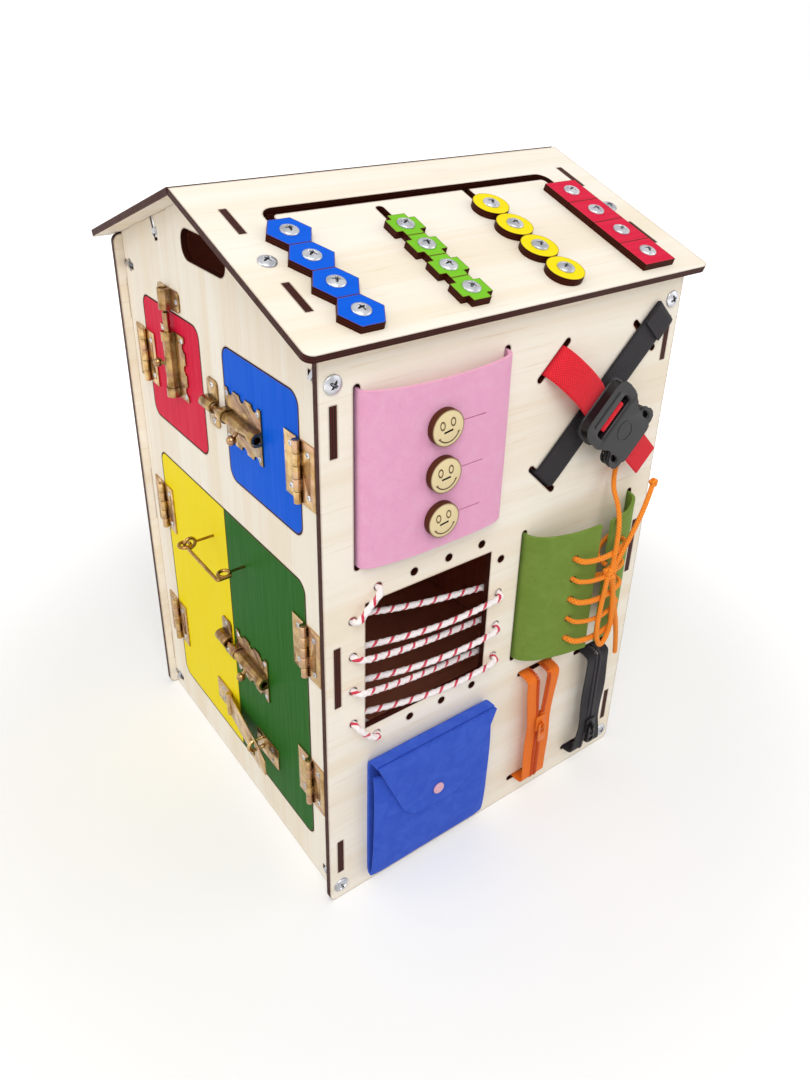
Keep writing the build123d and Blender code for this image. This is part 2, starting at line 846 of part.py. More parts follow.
strap_half = strap_square / math.sqrt(2)
black_place = front.location * Pos(strap_x, strap_z) * Rot(0, 0, 45)
red_place = front.location * Pos(strap_x, strap_z) * Rot(0, 0, -45)
strap_hem = 14
buckle_centre = 11
buckle_length = 44
buckle_width = 34
buckle_thickness = 7.5
buckle_lift = 8
socket_share = 0.7
bar_slot = 3.4
prong_width = 5
prong_play = 0.4
socket_wall = 1.3
window_length = 9
emblem_radius = 6
emblem_depth = 0.5
black_end = 19
tail_end = 61
tail_lift = 9.5
buckle_release = 18


def hem_points():
    behind = -ply - webbing / 2
    return [(-strap_half - strap_hem, behind), (-strap_half, behind)]


def black_strap():
    lift = webbing / 2 + free_play
    points = hem_points() + [(-strap_half, lift), (strap_half + black_end, lift)]
    return strap(black_place, points, [webbing, webbing])


def bar_position():
    return buckle_centre - buckle_length / 2 + 2 * bar_slot


def red_strap():
    under = buckle_lift - webbing
    start = buckle_centre - buckle_length / 2
    points = hem_points() + [(-strap_half, webbing), (start - bar_slot, under), (bar_position(), under),
                             (bar_position(), buckle_lift + buckle_thickness - webbing)]
    return strap(red_place, points, [webbing, webbing, webbing_width / 2, webbing])


def buckle_prongs():
    start = buckle_centre - buckle_length / 2
    mouth = start + (1 - socket_share) * buckle_length
    thickness = buckle_thickness - 2 * socket_wall - 2 * prong_play
    frame_length = mouth - start - prong_play
    frame = Pos(start + frame_length / 2, 0) * RectangleRounded(frame_length, buckle_width, bar_slot)
    slot = Pos(bar_position(), 0) * RectangleRounded(bar_slot + webbing, webbing_width + overrun, webbing)
    body = extrude(frame - slot, amount=buckle_thickness)
    reach = socket_share * buckle_length / 2
    side_y = buckle_width / 2 - socket_wall - prong_play - prong_width / 2
    lift = socket_wall + prong_play
    for y, length in ((-side_y, reach), (0, reach * 0.8), (side_y, reach)):
        prong = Pos(mouth - prong_play + (length - overrun) / 2, y) * Rectangle(length + overrun, prong_width)
        body += Pos(0, 0, lift) * extrude(prong, amount=thickness)
    return red_place * Pos(0, 0, buckle_lift) * body


def buckle_socket():
    start = buckle_centre - buckle_length / 2
    mouth = start + (1 - socket_share) * buckle_length
    length = socket_share * buckle_length
    shell = extrude(Pos(mouth + length / 2, 0) * RectangleRounded(length, buckle_width, bar_slot),
                    amount=buckle_thickness)
    hollow_length = length - 3 * bar_slot
    hollow = Pos(mouth + (hollow_length - overrun) / 2, 0, buckle_thickness / 2)
    shell -= hollow * Box(hollow_length + overrun, buckle_width - 2 * socket_wall,
                          buckle_thickness - 2 * socket_wall)
    gap = Pos(mouth + hollow_length / 2, 0, buckle_thickness / 2)
    shell -= gap * Box(window_length, buckle_width + overrun, buckle_thickness - 2 * socket_wall)
    slot = Pos(mouth + length - 1.5 * bar_slot, 0) * RectangleRounded(bar_slot, webbing_width + overrun, overrun)
    shell -= extrude(slot, amount=buckle_thickness)
    emblem = Pos(mouth + length / 2 - bar_slot, 0, buckle_thickness - emblem_depth)
    return red_place * Pos(0, 0, buckle_lift) * (shell - emblem * extrude(Circle(emblem_radius), amount=overrun))


def red_strap_tail():
    slot = buckle_centre + buckle_length / 2 - 1.5 * bar_slot
    low = tail_lift - buckle_lift
    points = [(slot, buckle_thickness - webbing), (slot, -webbing), (tail_end, low)]
    return strap(red_place * Pos(0, 0, buckle_lift), points, [webbing])


# Lacing felt: two halves that meet in front of the wall
def felt_half(slot_x, edge_x, hole_x):
    depth = ply + slot_width
    lean = math.copysign(1, edge_x - slot_x)
    points = [(slot_x, -depth), (slot_x, felt_rise / 4), (hole_x - lean * felt_edge_gap, felt_rise * 0.72),
              (edge_x, felt_rise)]
    sheet = standing_sheet(points, [2 * felt, button_size], felt, felt_bottom, felt_height)
    for z in eyelet_heights():
        hole = Pos(hole_x, z) * Circle(eyelet_size / 2)
        sheet -= raised(front, hole, 2 * felt_rise)
    return sheet


def eyelet_heights():
    return [eyelet_z + (step - (eyelet_count - 1) / 2) * eyelet_pitch for step in range(eyelet_count)]


def lacing_felt_left():
    return felt_half(felt_left_x, felt_meet_x - felt_edge_gap / 2, eyelet_left_x)


def lacing_felt_right():
    return felt_half(felt_right_x, felt_meet_x + felt_edge_gap / 2, eyelet_right_x)


# Shoe lace: one cord through both halves of the felt, tied in a bow over the gap; points are (x, out, z)
rung_behind = 8
rung_front_left = 20
rung_front_middle = 22.3
rung_front_right = 19.5
tail_knot_size = 6
gap_out = 12
low_exit_drop = 8
high_exit_rise = 7.5
tail_up = [(66, 26.5, 190), (69, 26, 212), (75, 19, 229), (79.5, 6, 240), (84, 4.5, 252)]
tail_up_radii = [35, 28, 14]
tail_right = [(66, 26.5, 190), (81, 26, 212), (95, 23, 230), (102, 20, 240)]
tail_right_radii = [60, 60]
strand = [(66, 26.5, 190), (76, 25.5, 160), (85, 23.5, 135), (92, 20, 112)]
strand_radii = [90, 90]
bow_loop = [(64, 26.5, 190), (60, 27, 165), (60, 27, 144), (66, 27, 132), (73, 27, 144), (72, 27, 165),
            (68, 26.5, 190)]
bow_loop_radii = [30, 12, 7, 12, 30]


def lace_points(points):
    return [(x, -front_face - out, z) for x, out, z in points]


def laced_route():
    rows = eyelet_heights()
    points = [(knot_x, knot_out - knot_size / 2, knot_z - shoe_lace_size),
              (felt_meet_x, gap_out, knot_z - low_exit_drop),
              (eyelet_left_x, rung_behind, rows[0] + low_exit_drop), (eyelet_left_x, rung_behind, rows[0])]
    from_left = True
    for row in rows:
        fronts = [(eyelet_left_x, rung_front_left, row), (felt_meet_x, rung_front_middle, row),
                  (eyelet_right_x, rung_front_right, row)]
        ends = [eyelet_left_x, eyelet_right_x]
        if not from_left:
            fronts.reverse()
            ends.reverse()
        if row != rows[0]:
            points.append((ends[0], rung_behind, row))
        points += fronts + [(ends[1], rung_behind, row)]
        from_left = not from_left
    points += [(felt_meet_x, gap_out, rows[-1] - high_exit_rise),
               (knot_x, knot_out - knot_size / 2, knot_z + shoe_lace_size)]
    return points


def shoe_lace():
    route = laced_route()
    laced = cord(lace_points(route), [shoe_lace_size] * (len(route) - 2), shoe_lace_size)
    knot = Pos(*lace_points([(knot_x, knot_out, knot_z)])[0]) * Sphere(knot_size / 2)
    bow = knot + Pos(*lace_points([tail_right[-1]])[0]) * Sphere(tail_knot_size / 2)
    for points, radii in ((tail_up, tail_up_radii), (tail_right, tail_right_radii),
                          (strand, strand_radii), (bow_loop, bow_loop_radii)):
        bow += cord(lace_points(points), radii, shoe_lace_size)
    return [laced, bow]


# Window lace: through the wall at each hole, right holes from behind, left holes to the front
def window_lace():
    left_x = window_x - lacing_offset
    right_x = window_x + lacing_offset
    corner_x = window_x - 1.5 * lacing_pitch
    rows = [window_z + (1.5 - step) * lacing_pitch for step in range(4)]
    top = window_z + lacing_offset
    low = window_z - lacing_offset
    out = lace_proud
    inside = -lace_behind
    points = [(corner_x, inside - lace_size, top), (corner_x, out, top), (left_x, out, rows[0]),
              (left_x, inside, rows[0])]
    for row in rows[1:]:
        points += [(right_x, inside, row), (right_x, out, row), (left_x, inside, row)]
        points += [(left_x, out, row)]
    points += [(corner_x, out, low), (corner_x, inside - lace_size, low)]
    return cord(lace_points(points), [lace_size] * (len(points) - 2), lace_size)


# Zips: two tapes with a row of teeth each, spread on one side of the slider
def zip_outline(x, top, bottom, slider, inner, outer):
    if slider > (top + bottom) / 2:
        wide, narrow = top + zip_slot, bottom - zip_slot
        spread_z = top
    else:
        wide, narrow = bottom - zip_slot, top + zip_slot
        spread_z = bottom
    points = [(inner, narrow), (inner, slider), (inner + zip_spread, spread_z), (inner + zip_spread, wide),
              (outer + zip_spread, wide), (outer + zip_spread, spread_z), (outer, slider), (outer, narrow)]
    return Pos(x, 0) * make_face(Polyline(*points, close=True))


def zip_tape_half(x, top, bottom, slider):
    depth = ply + slot_width
    points = [(-depth, top), (zip_stand, top), (zip_stand, bottom), (-depth, bottom)]
    radii = [2 * webbing, 2 * webbing]
    width = 2 * zip_slot
    sheet = across_sheet(points, radii, zip_tape, x, width)
    teeth = across_sheet(points, radii, teeth_thickness, x, width)
    inner = zip_gap / 2
    reach = depth + zip_stand + teeth_thickness
    cloth = raised(front, zip_outline(x, top, bottom, slider, inner, zip_half), 2 * reach, -reach)
    row = raised(front, zip_outline(x, top, bottom, slider, inner, inner + teeth_width), 2 * reach, -reach)
    return (sheet & cloth) + (teeth & row)


def zip_tapes(x, top, bottom, slider):
    half = zip_tape_half(x, top, bottom, slider)
    return [half, mirror(half, about=Plane.YZ.offset(x))]


def slider_lift():
    return zip_stand + teeth_thickness / 2 + free_play


def zip_slider(x, z):
    plate = RectangleRounded(slider_width, slider_length, webbing)
    place = Pos(x, z)
    lift = slider_lift()
    body = raised(front, place * plate, slider_plate, lift)
    body += raised(front, place * plate, slider_plate, 2 * zip_stand - lift - slider_plate)
    post = place * Rectangle(slider_post, slider_length / 2)
    body += raised(front, post, 2 * (lift - zip_stand) + overrun, 2 * zip_stand - lift - overrun / 2)
    arch = Circle(bail_radius + bail_wire) - Circle(bail_radius)
    arch &= Pos(0, bail_radius + bail_wire) * Rectangle(4 * bail_radius, 2 * (bail_radius + bail_wire + overrun / 2))
    bail_plane = Plane(origin=(x, -front_face - lift - slider_plate, z), x_dir=(0, 0, 1), z_dir=(1, 0, 0))
    bail = extrude(bail_plane * arch, amount=bail_wire / 2, both=True)
    return body + bail


def pull_axis_out():
    return slider_lift() + slider_plate + (bail_radius + free_play) / 2


def zip_pull(x, z, ring_pull):
    outline = Pos(0, -pull_length / 2 + pull_thickness / 2) * RectangleRounded(pull_width, pull_length, pull_thickness)
    eye_height = 2 * (bail_radius + bail_wire)
    eye = Pos(0, -eye_height / 2 - pull_thickness / 2)
    outline -= eye * Rectangle(pull_width - 2 * pull_thickness - overrun, eye_height)
    if ring_pull:
        centre = -(pull_length + eye_height) / 2
        outline -= Pos(0, centre) * Circle(pull_width / 2 - pull_thickness)
    return raised(front, Pos(x, z) * outline, pull_thickness, pull_axis_out() - pull_thickness / 2)


orange_zip = (orange_zip_x, orange_zip_top, orange_zip_bottom, orange_slider_z)
black_zip = (black_zip_x, black_zip_top, black_zip_bottom, black_slider_z)

nodes = {
    "front_wall": front_wall(),
    "back_wall": back_wall(),
    "left_gable": left_gable(),
    "right_gable": board(right, gable_outline()),
    "floor_board": floor_board(),
    "roof_front": board(roof, roof_outline() - labyrinth()),
    "roof_back": roof_back(),
    "frame_screws": panel_screws(),
    "wall_hinge_leaves": wall_hinge_leaves(),
    "wall_keepers": wall_keepers(),
    "red_door": upper_door(-1),
    "red_hinge_leaf": door_leaf(-1, upper_hinge_height()),
    "red_bolt_case": red_bolt * bolt_case(red_throw, knob_start(red_throw)),
    "red_bolt_rod": red_bolt * bolt_rod(red_nose, knob_start(red_throw)),
    "blue_door": upper_door(1),
    "blue_hinge_leaf": door_leaf(1, upper_hinge_height()),
    "blue_bolt_case": blue_bolt * bolt_case(blue_throw, knob_start(blue_throw)),
    "blue_bolt_rod": blue_bolt * bolt_rod(blue_nose, knob_start(blue_throw)),
    "yellow_door": lower_door(-1),
    "yellow_hinge_leaves": [door_leaf(-1, z) for z in lower_hinge_heights()],
    "yellow_keeper": left.location * Pos(-green_keeper_y, green_bolt_z) * keeper(),
    "yellow_screw_eye": yellow_screw_eye(),
    "latch_hook": latch_hook(),
    "hasp_leaf": hasp_leaf(),
    "hasp_strap": hasp_strap(),
    "green_door": lower_door(1),
    "green_hinge_leaves": [door_leaf(1, z) for z in lower_hinge_heights()],
    "green_bolt_case": green_bolt * bolt_case(green_throw, knob_start(green_throw)),
    "green_bolt_rod": green_bolt * bolt_rod(green_nose, knob_start(green_throw)),
    "green_screw_eye": green_screw_eye(),
    "hasp_staple": hasp_staple(),
    "button_flap": button_flap(),
    "button_tab": button_tab(),
    "face_buttons": face_buttons(),
    "pouch_pocket": pouch_pocket(),
    "pouch_flap": pouch_flap(),
    "snap_cap": snap_cap(),
    "black_strap": black_strap(),
    "red_strap": red_strap(),
    "red_strap_tail": red_strap_tail(),
    "buckle_socket": buckle_socket(),
    "buckle_prongs": buckle_prongs(),
    "lacing_felt_left": lacing_felt_left(),
    "lacing_felt_right": lacing_felt_right(),
    "shoe_lace": shoe_lace(),
    "window_lace": window_lace(),
    "orange_zip_tape": zip_tapes(*orange_zip),
    "orange_slider": zip_slider(orange_zip_x, orange_slider_z),
    "orange_pull": zip_pull(orange_zip_x, orange_slider_z, False),
    "black_zip_tape": zip_tapes(*black_zip),
    "black_slider": zip_slider(black_zip_x, black_slider_z),
    "black_pull": zip_pull(black_zip_x, black_slider_z, True),
    "blue_tiles": tiles(0, blue_pitch, hexagon_tile()),
    "blue_tile_screws": tile_screws(0, blue_pitch),
    "green_tiles": tiles(1, green_pitch, cross_tile()),
    "green_tile_screws": tile_screws(1, green_pitch),
    "yellow_tiles": tiles(2, yellow_pitch, round_tile()),
    "yellow_tile_screws": tile_screws(2, yellow_pitch),
    "red_tiles": tiles(3, red_pitch, square_tile()),
    "red_tile_screws": tile_screws(3, red_pitch),
}

for name, piece in nodes.items():
    shape = Compound(piece) if isinstance(piece, list) else piece
    export_step(Pos(house_x, house_y) * shape, f"parts/{name}.step")
print(len(nodes), "nodes")
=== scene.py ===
import bpy
import bmesh
import math
from functools import partial
from mathutils import Matrix, Vector, noise


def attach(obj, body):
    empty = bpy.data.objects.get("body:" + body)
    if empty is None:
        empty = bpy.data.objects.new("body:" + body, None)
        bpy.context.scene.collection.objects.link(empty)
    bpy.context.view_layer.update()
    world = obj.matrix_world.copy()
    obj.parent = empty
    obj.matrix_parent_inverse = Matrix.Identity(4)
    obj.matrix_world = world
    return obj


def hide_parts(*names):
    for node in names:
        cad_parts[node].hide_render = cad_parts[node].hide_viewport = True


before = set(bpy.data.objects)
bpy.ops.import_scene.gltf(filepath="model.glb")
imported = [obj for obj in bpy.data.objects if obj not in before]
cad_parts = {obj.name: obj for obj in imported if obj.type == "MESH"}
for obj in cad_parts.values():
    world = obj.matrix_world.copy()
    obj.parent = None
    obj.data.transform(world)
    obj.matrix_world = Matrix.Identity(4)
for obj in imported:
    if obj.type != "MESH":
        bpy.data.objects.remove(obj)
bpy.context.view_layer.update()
print("stage: frame loaded")

# Lengths are millimetres on the house: x along the front wall, out from a wall, z up, d down the roof
house = {"x": 4.35, "y": 11.0676, "frontFace": 125, "gableFace": 119, "ridge": 416, "pitch": math.radians(20), "ply": 4}
riseShare, runShare = math.sin(house["pitch"]), math.cos(house["pitch"])
millimetre = 0.001


def toMetres(point):
    return Vector(((point[0] + house["x"]) / 1000, (point[1] + house["y"]) / 1000, point[2] / 1000))


def onFront(x, z, out):
    return toMetres((x, -house["frontFace"] - out, z))


def onGable(u, z, out):
    return toMetres((-house["gableFace"] - out, -u, z))


# Frames on the walls and roof: X to the right as seen from outside, Y up, Z outwards, in millimetres
def wallFrame(origin, across, up, out, turn=0):
    frameOf = Matrix(tuple(zip(across, up, out))).to_4x4()
    return (Matrix.Translation(origin) @ frameOf @ Matrix.Rotation(math.radians(turn), 4, "Z")
            @ Matrix.Scale(millimetre, 4))


def frontFrame(x, z, out=0.0, turn=0):
    return wallFrame(onFront(x, z, out), (1, 0, 0), (0, 0, 1), (0, -1, 0), turn)


def backFrame(x, z, out, turn):
    return wallFrame(toMetres((-x, house["frontFace"] + out, z)), (-1, 0, 0), (0, 0, 1), (0, 1, 0), turn)


def gableFrame(u, z, out=0.0, turn=0):
    return wallFrame(onGable(u, z, out), (0, -1, 0), (0, 0, 1), (-1, 0, 0), turn)


# slope is -1 on the front roof and 1 on the back one
def roofFrame(x, d, h, turn, slope=-1):
    place = toMetres((x, slope * (house["ply"] * riseShare + d * runShare + h * riseShare),
                      house["ridge"] - d * riseShare + h * runShare))
    return wallFrame(place, (-slope, 0, 0), (0, -slope * runShare, riseShare), (0, slope * riseShare, runShare), turn)


# The camera stands where the photograph was taken from
cameraLook = {"place": (-313.3, -440.5, 504.2), "turn": 36.08, "down": 28.105, "roll": 0.967,
              "focal": 893.12, "middle": (391.56, 469.12), "picture": (810, 1080)}


def makeCamera(c):
    a, e, r = (math.radians(c[k]) for k in ("turn", "down", "roll"))
    forward = Vector((math.sin(a) * math.cos(e), math.cos(a) * math.cos(e), -math.sin(e)))
    level = Vector((math.cos(a), -math.sin(a), 0))
    over = level.cross(forward)
    right = math.cos(r) * level + math.sin(r) * over
    up = -math.sin(r) * level + math.cos(r) * over
    width, height = c["picture"]
    data = bpy.data.cameras.new("photoCamera")
    data.lens = c["focal"] / height * data.sensor_width
    data.shift_x = (width / 2 - c["middle"][0]) / height
    data.shift_y = -(height / 2 - c["middle"][1]) / height
    data.clip_start = 0.01
    camera = bpy.data.objects.new("photoCamera", data)
    camera.matrix_world = Matrix(tuple(zip(right, up, -forward))).to_4x4()
    camera.location = toMetres(c["place"])
    bpy.context.scene.collection.objects.link(camera)
    bpy.context.scene.camera = camera


makeCamera(cameraLook)
bpy.context.scene.view_settings.view_transform = "Standard"


def linear(hexColour):
    parts = [int(hexColour[i:i + 2], 16) / 255 for i in (1, 3, 5)]
    return tuple(p / 12.92 if p <= 0.04045 else ((p + 0.055) / 1.055) ** 2.4 for p in parts) + (1,)


# Sets a node's inputs, in order or by name: a node stands for its first output, and a hex value for its colour
def wire(node, *values, **named):
    pairs = list(zip([s for s in node.inputs if s.enabled], values))
    pairs += [(node.inputs[key.replace("_", " ")], value) for key, value in named.items()]
    for socket, value in pairs:
        if isinstance(value, bpy.types.Node):
            value = next(s for s in value.outputs if s.enabled)
        if isinstance(value, bpy.types.NodeSocket):
            node.id_data.links.new(value, socket)
        else:
            socket.default_value = linear(value) if str(value).startswith("#") else value
    return node


usualSettings = {"Mix": {"data_type": "RGBA"}, "MapRange": {"interpolation_type": "SMOOTHSTEP"}}


# Adds a node, with its operation after its kind where it has one. Names with a small first letter are settings, and
# all else goes to its inputs.
def addNode(tree, kind, *values, **named):
    kind, _, operation = kind.partition(" ")
    node = tree.nodes.new(kind if kind.startswith("Geometry") else "ShaderNode" + kind)
    settings = {key: named.pop(key) for key in list(named) if key[0].islower()}
    if operation:
        settings["operation"] = operation
    for key, value in {**usualSettings.get(kind, {}), **settings}.items():
        setattr(node, key, value)
    return wire(node, *values, **named)


def newMaterial(name, **principled):
    material = bpy.data.materials.new(name)
    material.use_nodes = True
    shader = wire(material.node_tree.nodes["Principled BSDF"], **principled)
    return material, partial(addNode, material.node_tree), shader


# Birch ply, laser cut: pale close-grained faces with a silky finish, and edges scorched dark brown
# The inside colours are painted shade: a reddish brown for the faces in the closed house's shade
plyLook = {"face": "#fcf4e6", "figure": "#f4e5cc", "fleck": "#dcbd93", "sootAndShade": "#74391f", "inside": "#d58a6e",
           "insideShadeDark": "#a65f46", "edge": "#4d1c0f", "edgeDark": "#220a05", "grainAcross": 1.6, "grainLong": 45,
           "layer": 1.35, "room": (117, 123)}


def plyMaterial(name, facing, grain, paint):
    material, add, shader = newMaterial(name, Specular_IOR_Level=0.06 if paint else 0.14)
    coords = add("TexCoord")
    place = coords.outputs["Object"]
    facing, along = Vector(facing).normalized(), Vector(grain).normalized()
    axes = ((along, 1000 / plyLook["grainLong"]), (facing.cross(along), 1000 / plyLook["grainAcross"]), (facing, 40.0))
    shares = [add("VectorMath DOT_PRODUCT", place, tuple(axis)) for axis, _ in axes]
    stretched = add("CombineXYZ", *(add("Math MULTIPLY", share, scale) for share, (_, scale) in zip(shares, axes)))
    fibre = add("TexNoise", stretched, Scale=1.0, Detail=5.0, Roughness=0.6)
    broad = add("TexNoise", stretched, Scale=0.09, Detail=3.0, Distortion=0.6)
    faced = add("VectorMath DOT_PRODUCT", coords.outputs["Normal"], tuple(facing))
    face = add("Mix", add("MapRange", broad, 0.35, 0.7, 0.0, 0.75), plyLook["face"], plyLook["figure"])
    face = add("Mix", add("MapRange", fibre, 0.56, 0.78, 0.0, 0.4), face, plyLook["fleck"])
    if paint:
        coat = add("Mix", add("MapRange", fibre, 0.4, 0.75, 0.0, 0.22), *paint)
        face = add("Mix", add("MapRange", faced, -0.2, 0.2), face, coat)
    else:  # faces towards the room are painted a reddish brown that stands in for the shade inside the closed house
        where = add("SeparateXYZ", place)
        room = add("MapRange", faced, 0.2, -0.2)
        for out, middle, limit in zip(where.outputs, (house["x"], house["y"]), plyLook["room"]):
            away = add("Math ABSOLUTE", add("Math SUBTRACT", out, middle / 1000))
            within = add("MapRange", away, limit / 1000 + 0.0003, limit / 1000 - 0.0003)
            room = add("Math MULTIPLY", room, within)
        # painted shade: the room-facing faces go to a darker reddish brown, as the shaded inside of the closed house
        # looks
        insideShade = add("Mix", add("MapRange", fibre, 0.4, 0.75, 0.0, 0.3), plyLook["inside"], plyLook["insideShadeDark"])
        face = add("Mix", room, face, insideShade)
    # soot that the laser leaves beside each cut, together with painted shade: the rims are darkened further, most on
    # painted doors, as shade darkens the gaps round doors and slots
    rim = add("AmbientOcclusion", samples=5, inside=True, only_local=True, Distance=0.0007 if paint else 0.0012)
    sootAndShade = add("MapRange", rim.outputs["AO"], 0.95, 0.55, 0.0, 0.8 if paint else 0.55)
    face = add("Mix", sootAndShade, face, plyLook["sootAndShade"])
    # the plies show in the burnt edge
    layers = add("Math SINE", add("Math MULTIPLY", shares[2], 2 * math.pi * 1000 / plyLook["layer"]))
    scorch = add("TexNoise", place, Scale=420.0, Detail=3.0)
    burn = add("Math ADD", layers, add("Math MULTIPLY", scorch, 1.2))
    burnt = add("Mix", add("MapRange", burn, 0.0, 1.4), plyLook["edgeDark"], plyLook["edge"])
    edge = add("MapRange", add("Math ABSOLUTE", faced), 0.75, 0.5)
    low, high = (0.4, 0.55) if paint else (0.45, 0.6)
    wire(shader, Base_Color=add("Mix", edge, face, burnt), Roughness=add("MapRange", fibre, 0.3, 0.7, low, high),
         Normal=add("Bump", Height=fibre, Strength=0.12 if paint else 0.2, Distance=0.0003))
    return material


# Acrylic paint rolled thin on the ply, so that the grain still shows through
paints = {"red": ("#dd1a40", "#c01236"), "blue": ("#045fdf", "#034dbd"), "yellow": ("#fbe312", "#f2d30a"),
          "green": ("#22631a", "#1a5014"), "lightGreen": ("#7cc62c", "#6cb322")}
front, left, across, up = (0, -1, 0), (-1, 0, 0), (1, 0, 0), (0, 0, 1)
roofOut = (0, -riseShare, runShare)
panels = {  # which way the good face looks, which way the grain runs, and the paint
    "front_wall": (front, across, None), "back_wall": ((0, 1, 0), across, None), "left_gable": (left, up, None),
    "right_gable": (across, up, None), "floor_board": ((0, 0, -1), across, None), "roof_front": (roofOut, across, None),
    "roof_back": ((0, riseShare, runShare), across, None), "red_door": (left, up, "red"),
    "blue_door": (left, up, "blue"), "yellow_door": (left, up, "yellow"), "green_door": (left, up, "green"),
    "blue_tiles": (roofOut, across, "blue"), "green_tiles": (roofOut, across, "lightGreen"),
    "yellow_tiles": (roofOut, across, "yellow"), "red_tiles": (roofOut, across, "red"),
}
for node, (facing, grain, paint) in panels.items():
    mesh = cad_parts[node].data
    mesh.materials.clear()
    mesh.materials.append(plyMaterial("birchPly " + node, facing, grain, paints.get(paint)))


# Yellow-passivated zinc on pressed steel: brassy and a little cloudy, with pink drifts where the film is thicker, and
# painted shade in its creases
def platedMaterial(name, base, cloudy, creaseShade, rough, pink=None):
    material, add, shader = newMaterial(name, Metallic=1.0)
    place = add("TexCoord").outputs["Object"]
    cloud = add("TexNoise", place, Scale=160.0, Detail=4.0)
    fine = add("TexNoise", place, Scale=1800.0, Detail=2.0)
    plating = add("Mix", add("MapRange", cloud, 0.35, 0.7), base, cloudy)
    if pink:
        drift = add("TexNoise", place, Scale=75.0, Detail=1.5)
        plating = add("Mix", add("MapRange", drift, 0.48, 0.66, 0.0, 0.6), plating, pink)
    # painted shade: creases and hollows go towards a dark colour, standing in for the shade and dark reflections there
    openness = add("AmbientOcclusion", samples=6, only_local=True, Distance=0.0035).outputs["AO"]
    wire(shader, Base_Color=add("Mix", add("MapRange", openness, 0.35, 0.9), creaseShade, plating),
         Roughness=add("MapRange", cloud, 0.3, 0.7, rough, rough + 0.14),
         Normal=add("Bump", Height=fine, Strength=0.15, Distance=0.0001))
    return material


# The fourth colour of each is painted shade for its creases and hollows
brassPlate = platedMaterial("passivatedZincPlate", "#cfb07c", "#ad8853", "#4a2b12", 0.2, "#c39a86")
boltBrass = platedMaterial("passivatedZincBolt", "#b2925f", "#7a5a31", "#1f0f08", 0.16, "#96705f")
knuckleBrass = platedMaterial("passivatedZincWire", "#b58d50", "#8d6632", "#331d0c", 0.18)
zincScrew = platedMaterial("zincPlatedScrew", "#cfd0d4", "#a7a8ae", "#4b4a4c", 0.22)


# Injection-moulded acetal: near-black, satin from a spark-eroded mould with a grit of about a third of a millimetre
def mouldedMaterial(name, hexColour, rough):
    material, add, shader = newMaterial(name, Specular_IOR_Level=0.32)
    place = add("TexCoord").outputs["Object"]
    spark = add("TexNoise", place, Scale=1000 / 0.35, Detail=2.0)
    dark = tuple(c * 0.8 for c in linear(hexColour)[:3]) + (1,)
    wire(shader, Base_Color=add("Mix", add("TexNoise", place, Scale=60.0, Detail=2.0), hexColour, dark),
         Roughness=add("MapRange", spark, 0.3, 0.7, rough - 0.06, rough + 0.08),
         Normal=add("Bump", Height=spark, Strength=0.1, Distance=0.0001))
    return material


blackAcetal = mouldedMaterial("mouldedBlackAcetal", "#1d1a1c", 0.36)
orangeEnamel = mouldedMaterial("enamelledOrangeZinc", "#f07a20", 0.3)
pinkStud = mouldedMaterial("mouldedPinkStud", "#e9b3c4", 0.3)


# Pressed wool-mix felt: short matted fibres, soft and matt, a little mottled, with a pale bloom at grazing angles
def feltMaterial(name, base, dark, pale):
    material, add, shader = newMaterial(name, Roughness=0.95, Sheen_Weight=0.35, Sheen_Roughness=0.45, Sheen_Tint=pale)
    place = add("TexCoord").outputs["Object"]
    matted = add("TexNoise", place, Scale=900.0, Detail=6.0, Roughness=0.7, Distortion=1.5)
    mottle = add("TexNoise", place, Scale=110.0, Detail=4.0, Distortion=0.8)
    hairs = add("TexNoise", add("Mapping", place, Scale=(1.0, 1.0, 3.2)), Scale=520.0, Detail=5.0, Roughness=0.75,
                Distortion=2.5)
    colour = base
    for mask, low, high, most, other in ((mottle, 0.35, 0.7, 0.3, pale), (matted, 0.5, 0.72, 0.5, dark),
                                         (hairs, 0.55, 0.75, 0.6, pale)):
        colour = add("Mix", add("MapRange", mask, low, high, 0.0, most), colour, other)
    wire(shader, Base_Color=colour, Normal=add("Bump", Height=matted, Strength=0.55, Distance=0.0005))
    return material


pinkFelt = feltMaterial("pinkWoolFelt", "#efa9cb", "#d987b0", "#f6c3db")
blueFelt = feltMaterial("blueWoolFelt", "#2a52c6", "#1c3a9c", "#4a70dd")
greenFelt = feltMaterial("greenWoolFelt", "#6e8a30", "#52691d", "#879f49")


# Polypropylene webbing and braid: crossing yarns in relief, with painted shade in the gaps. They read the piece's own
# map, u along it and v across it in mm, or once round a cord, where aroundScale counts the yarns.
def wovenMaterial(name, base, dark, pitch, aroundScale=1.0):
    material, add, shader = newMaterial(name, Roughness=0.7, Sheen_Weight=0.06, Specular_IOR_Level=0.25)
    place = add("TexCoord").outputs["Object"]
    along, other = add("SeparateXYZ", add("UVMap", uv_map="along")).outputs[:2]
    around = add("Math MULTIPLY", other, aroundScale)
    waves = []
    for way in ("ADD", "SUBTRACT"):
        phase = add("Math MULTIPLY", add("Math " + way, along, around), 2 * math.pi / pitch)
        waves.append(add("Math SINE", phase))
    yarn = add("Math MAXIMUM", *waves)
    shade = add("Math MULTIPLY", add("TexNoise", place, Scale=500.0, Detail=4.0), 0.5)
    # painted shade: the colour darkens from the yarns' crests down into the hollows between them
    value = add("Math ADD", add("MapRange", yarn, -0.6, 1.0, 0.0, 0.6), shade)
    wire(shader, Base_Color=add("Mix", add("MapRange", value, 0.15, 0.8), dark, base),
         Normal=add("Bump", Height=yarn, Strength=0.35, Distance=0.0003))
    return material


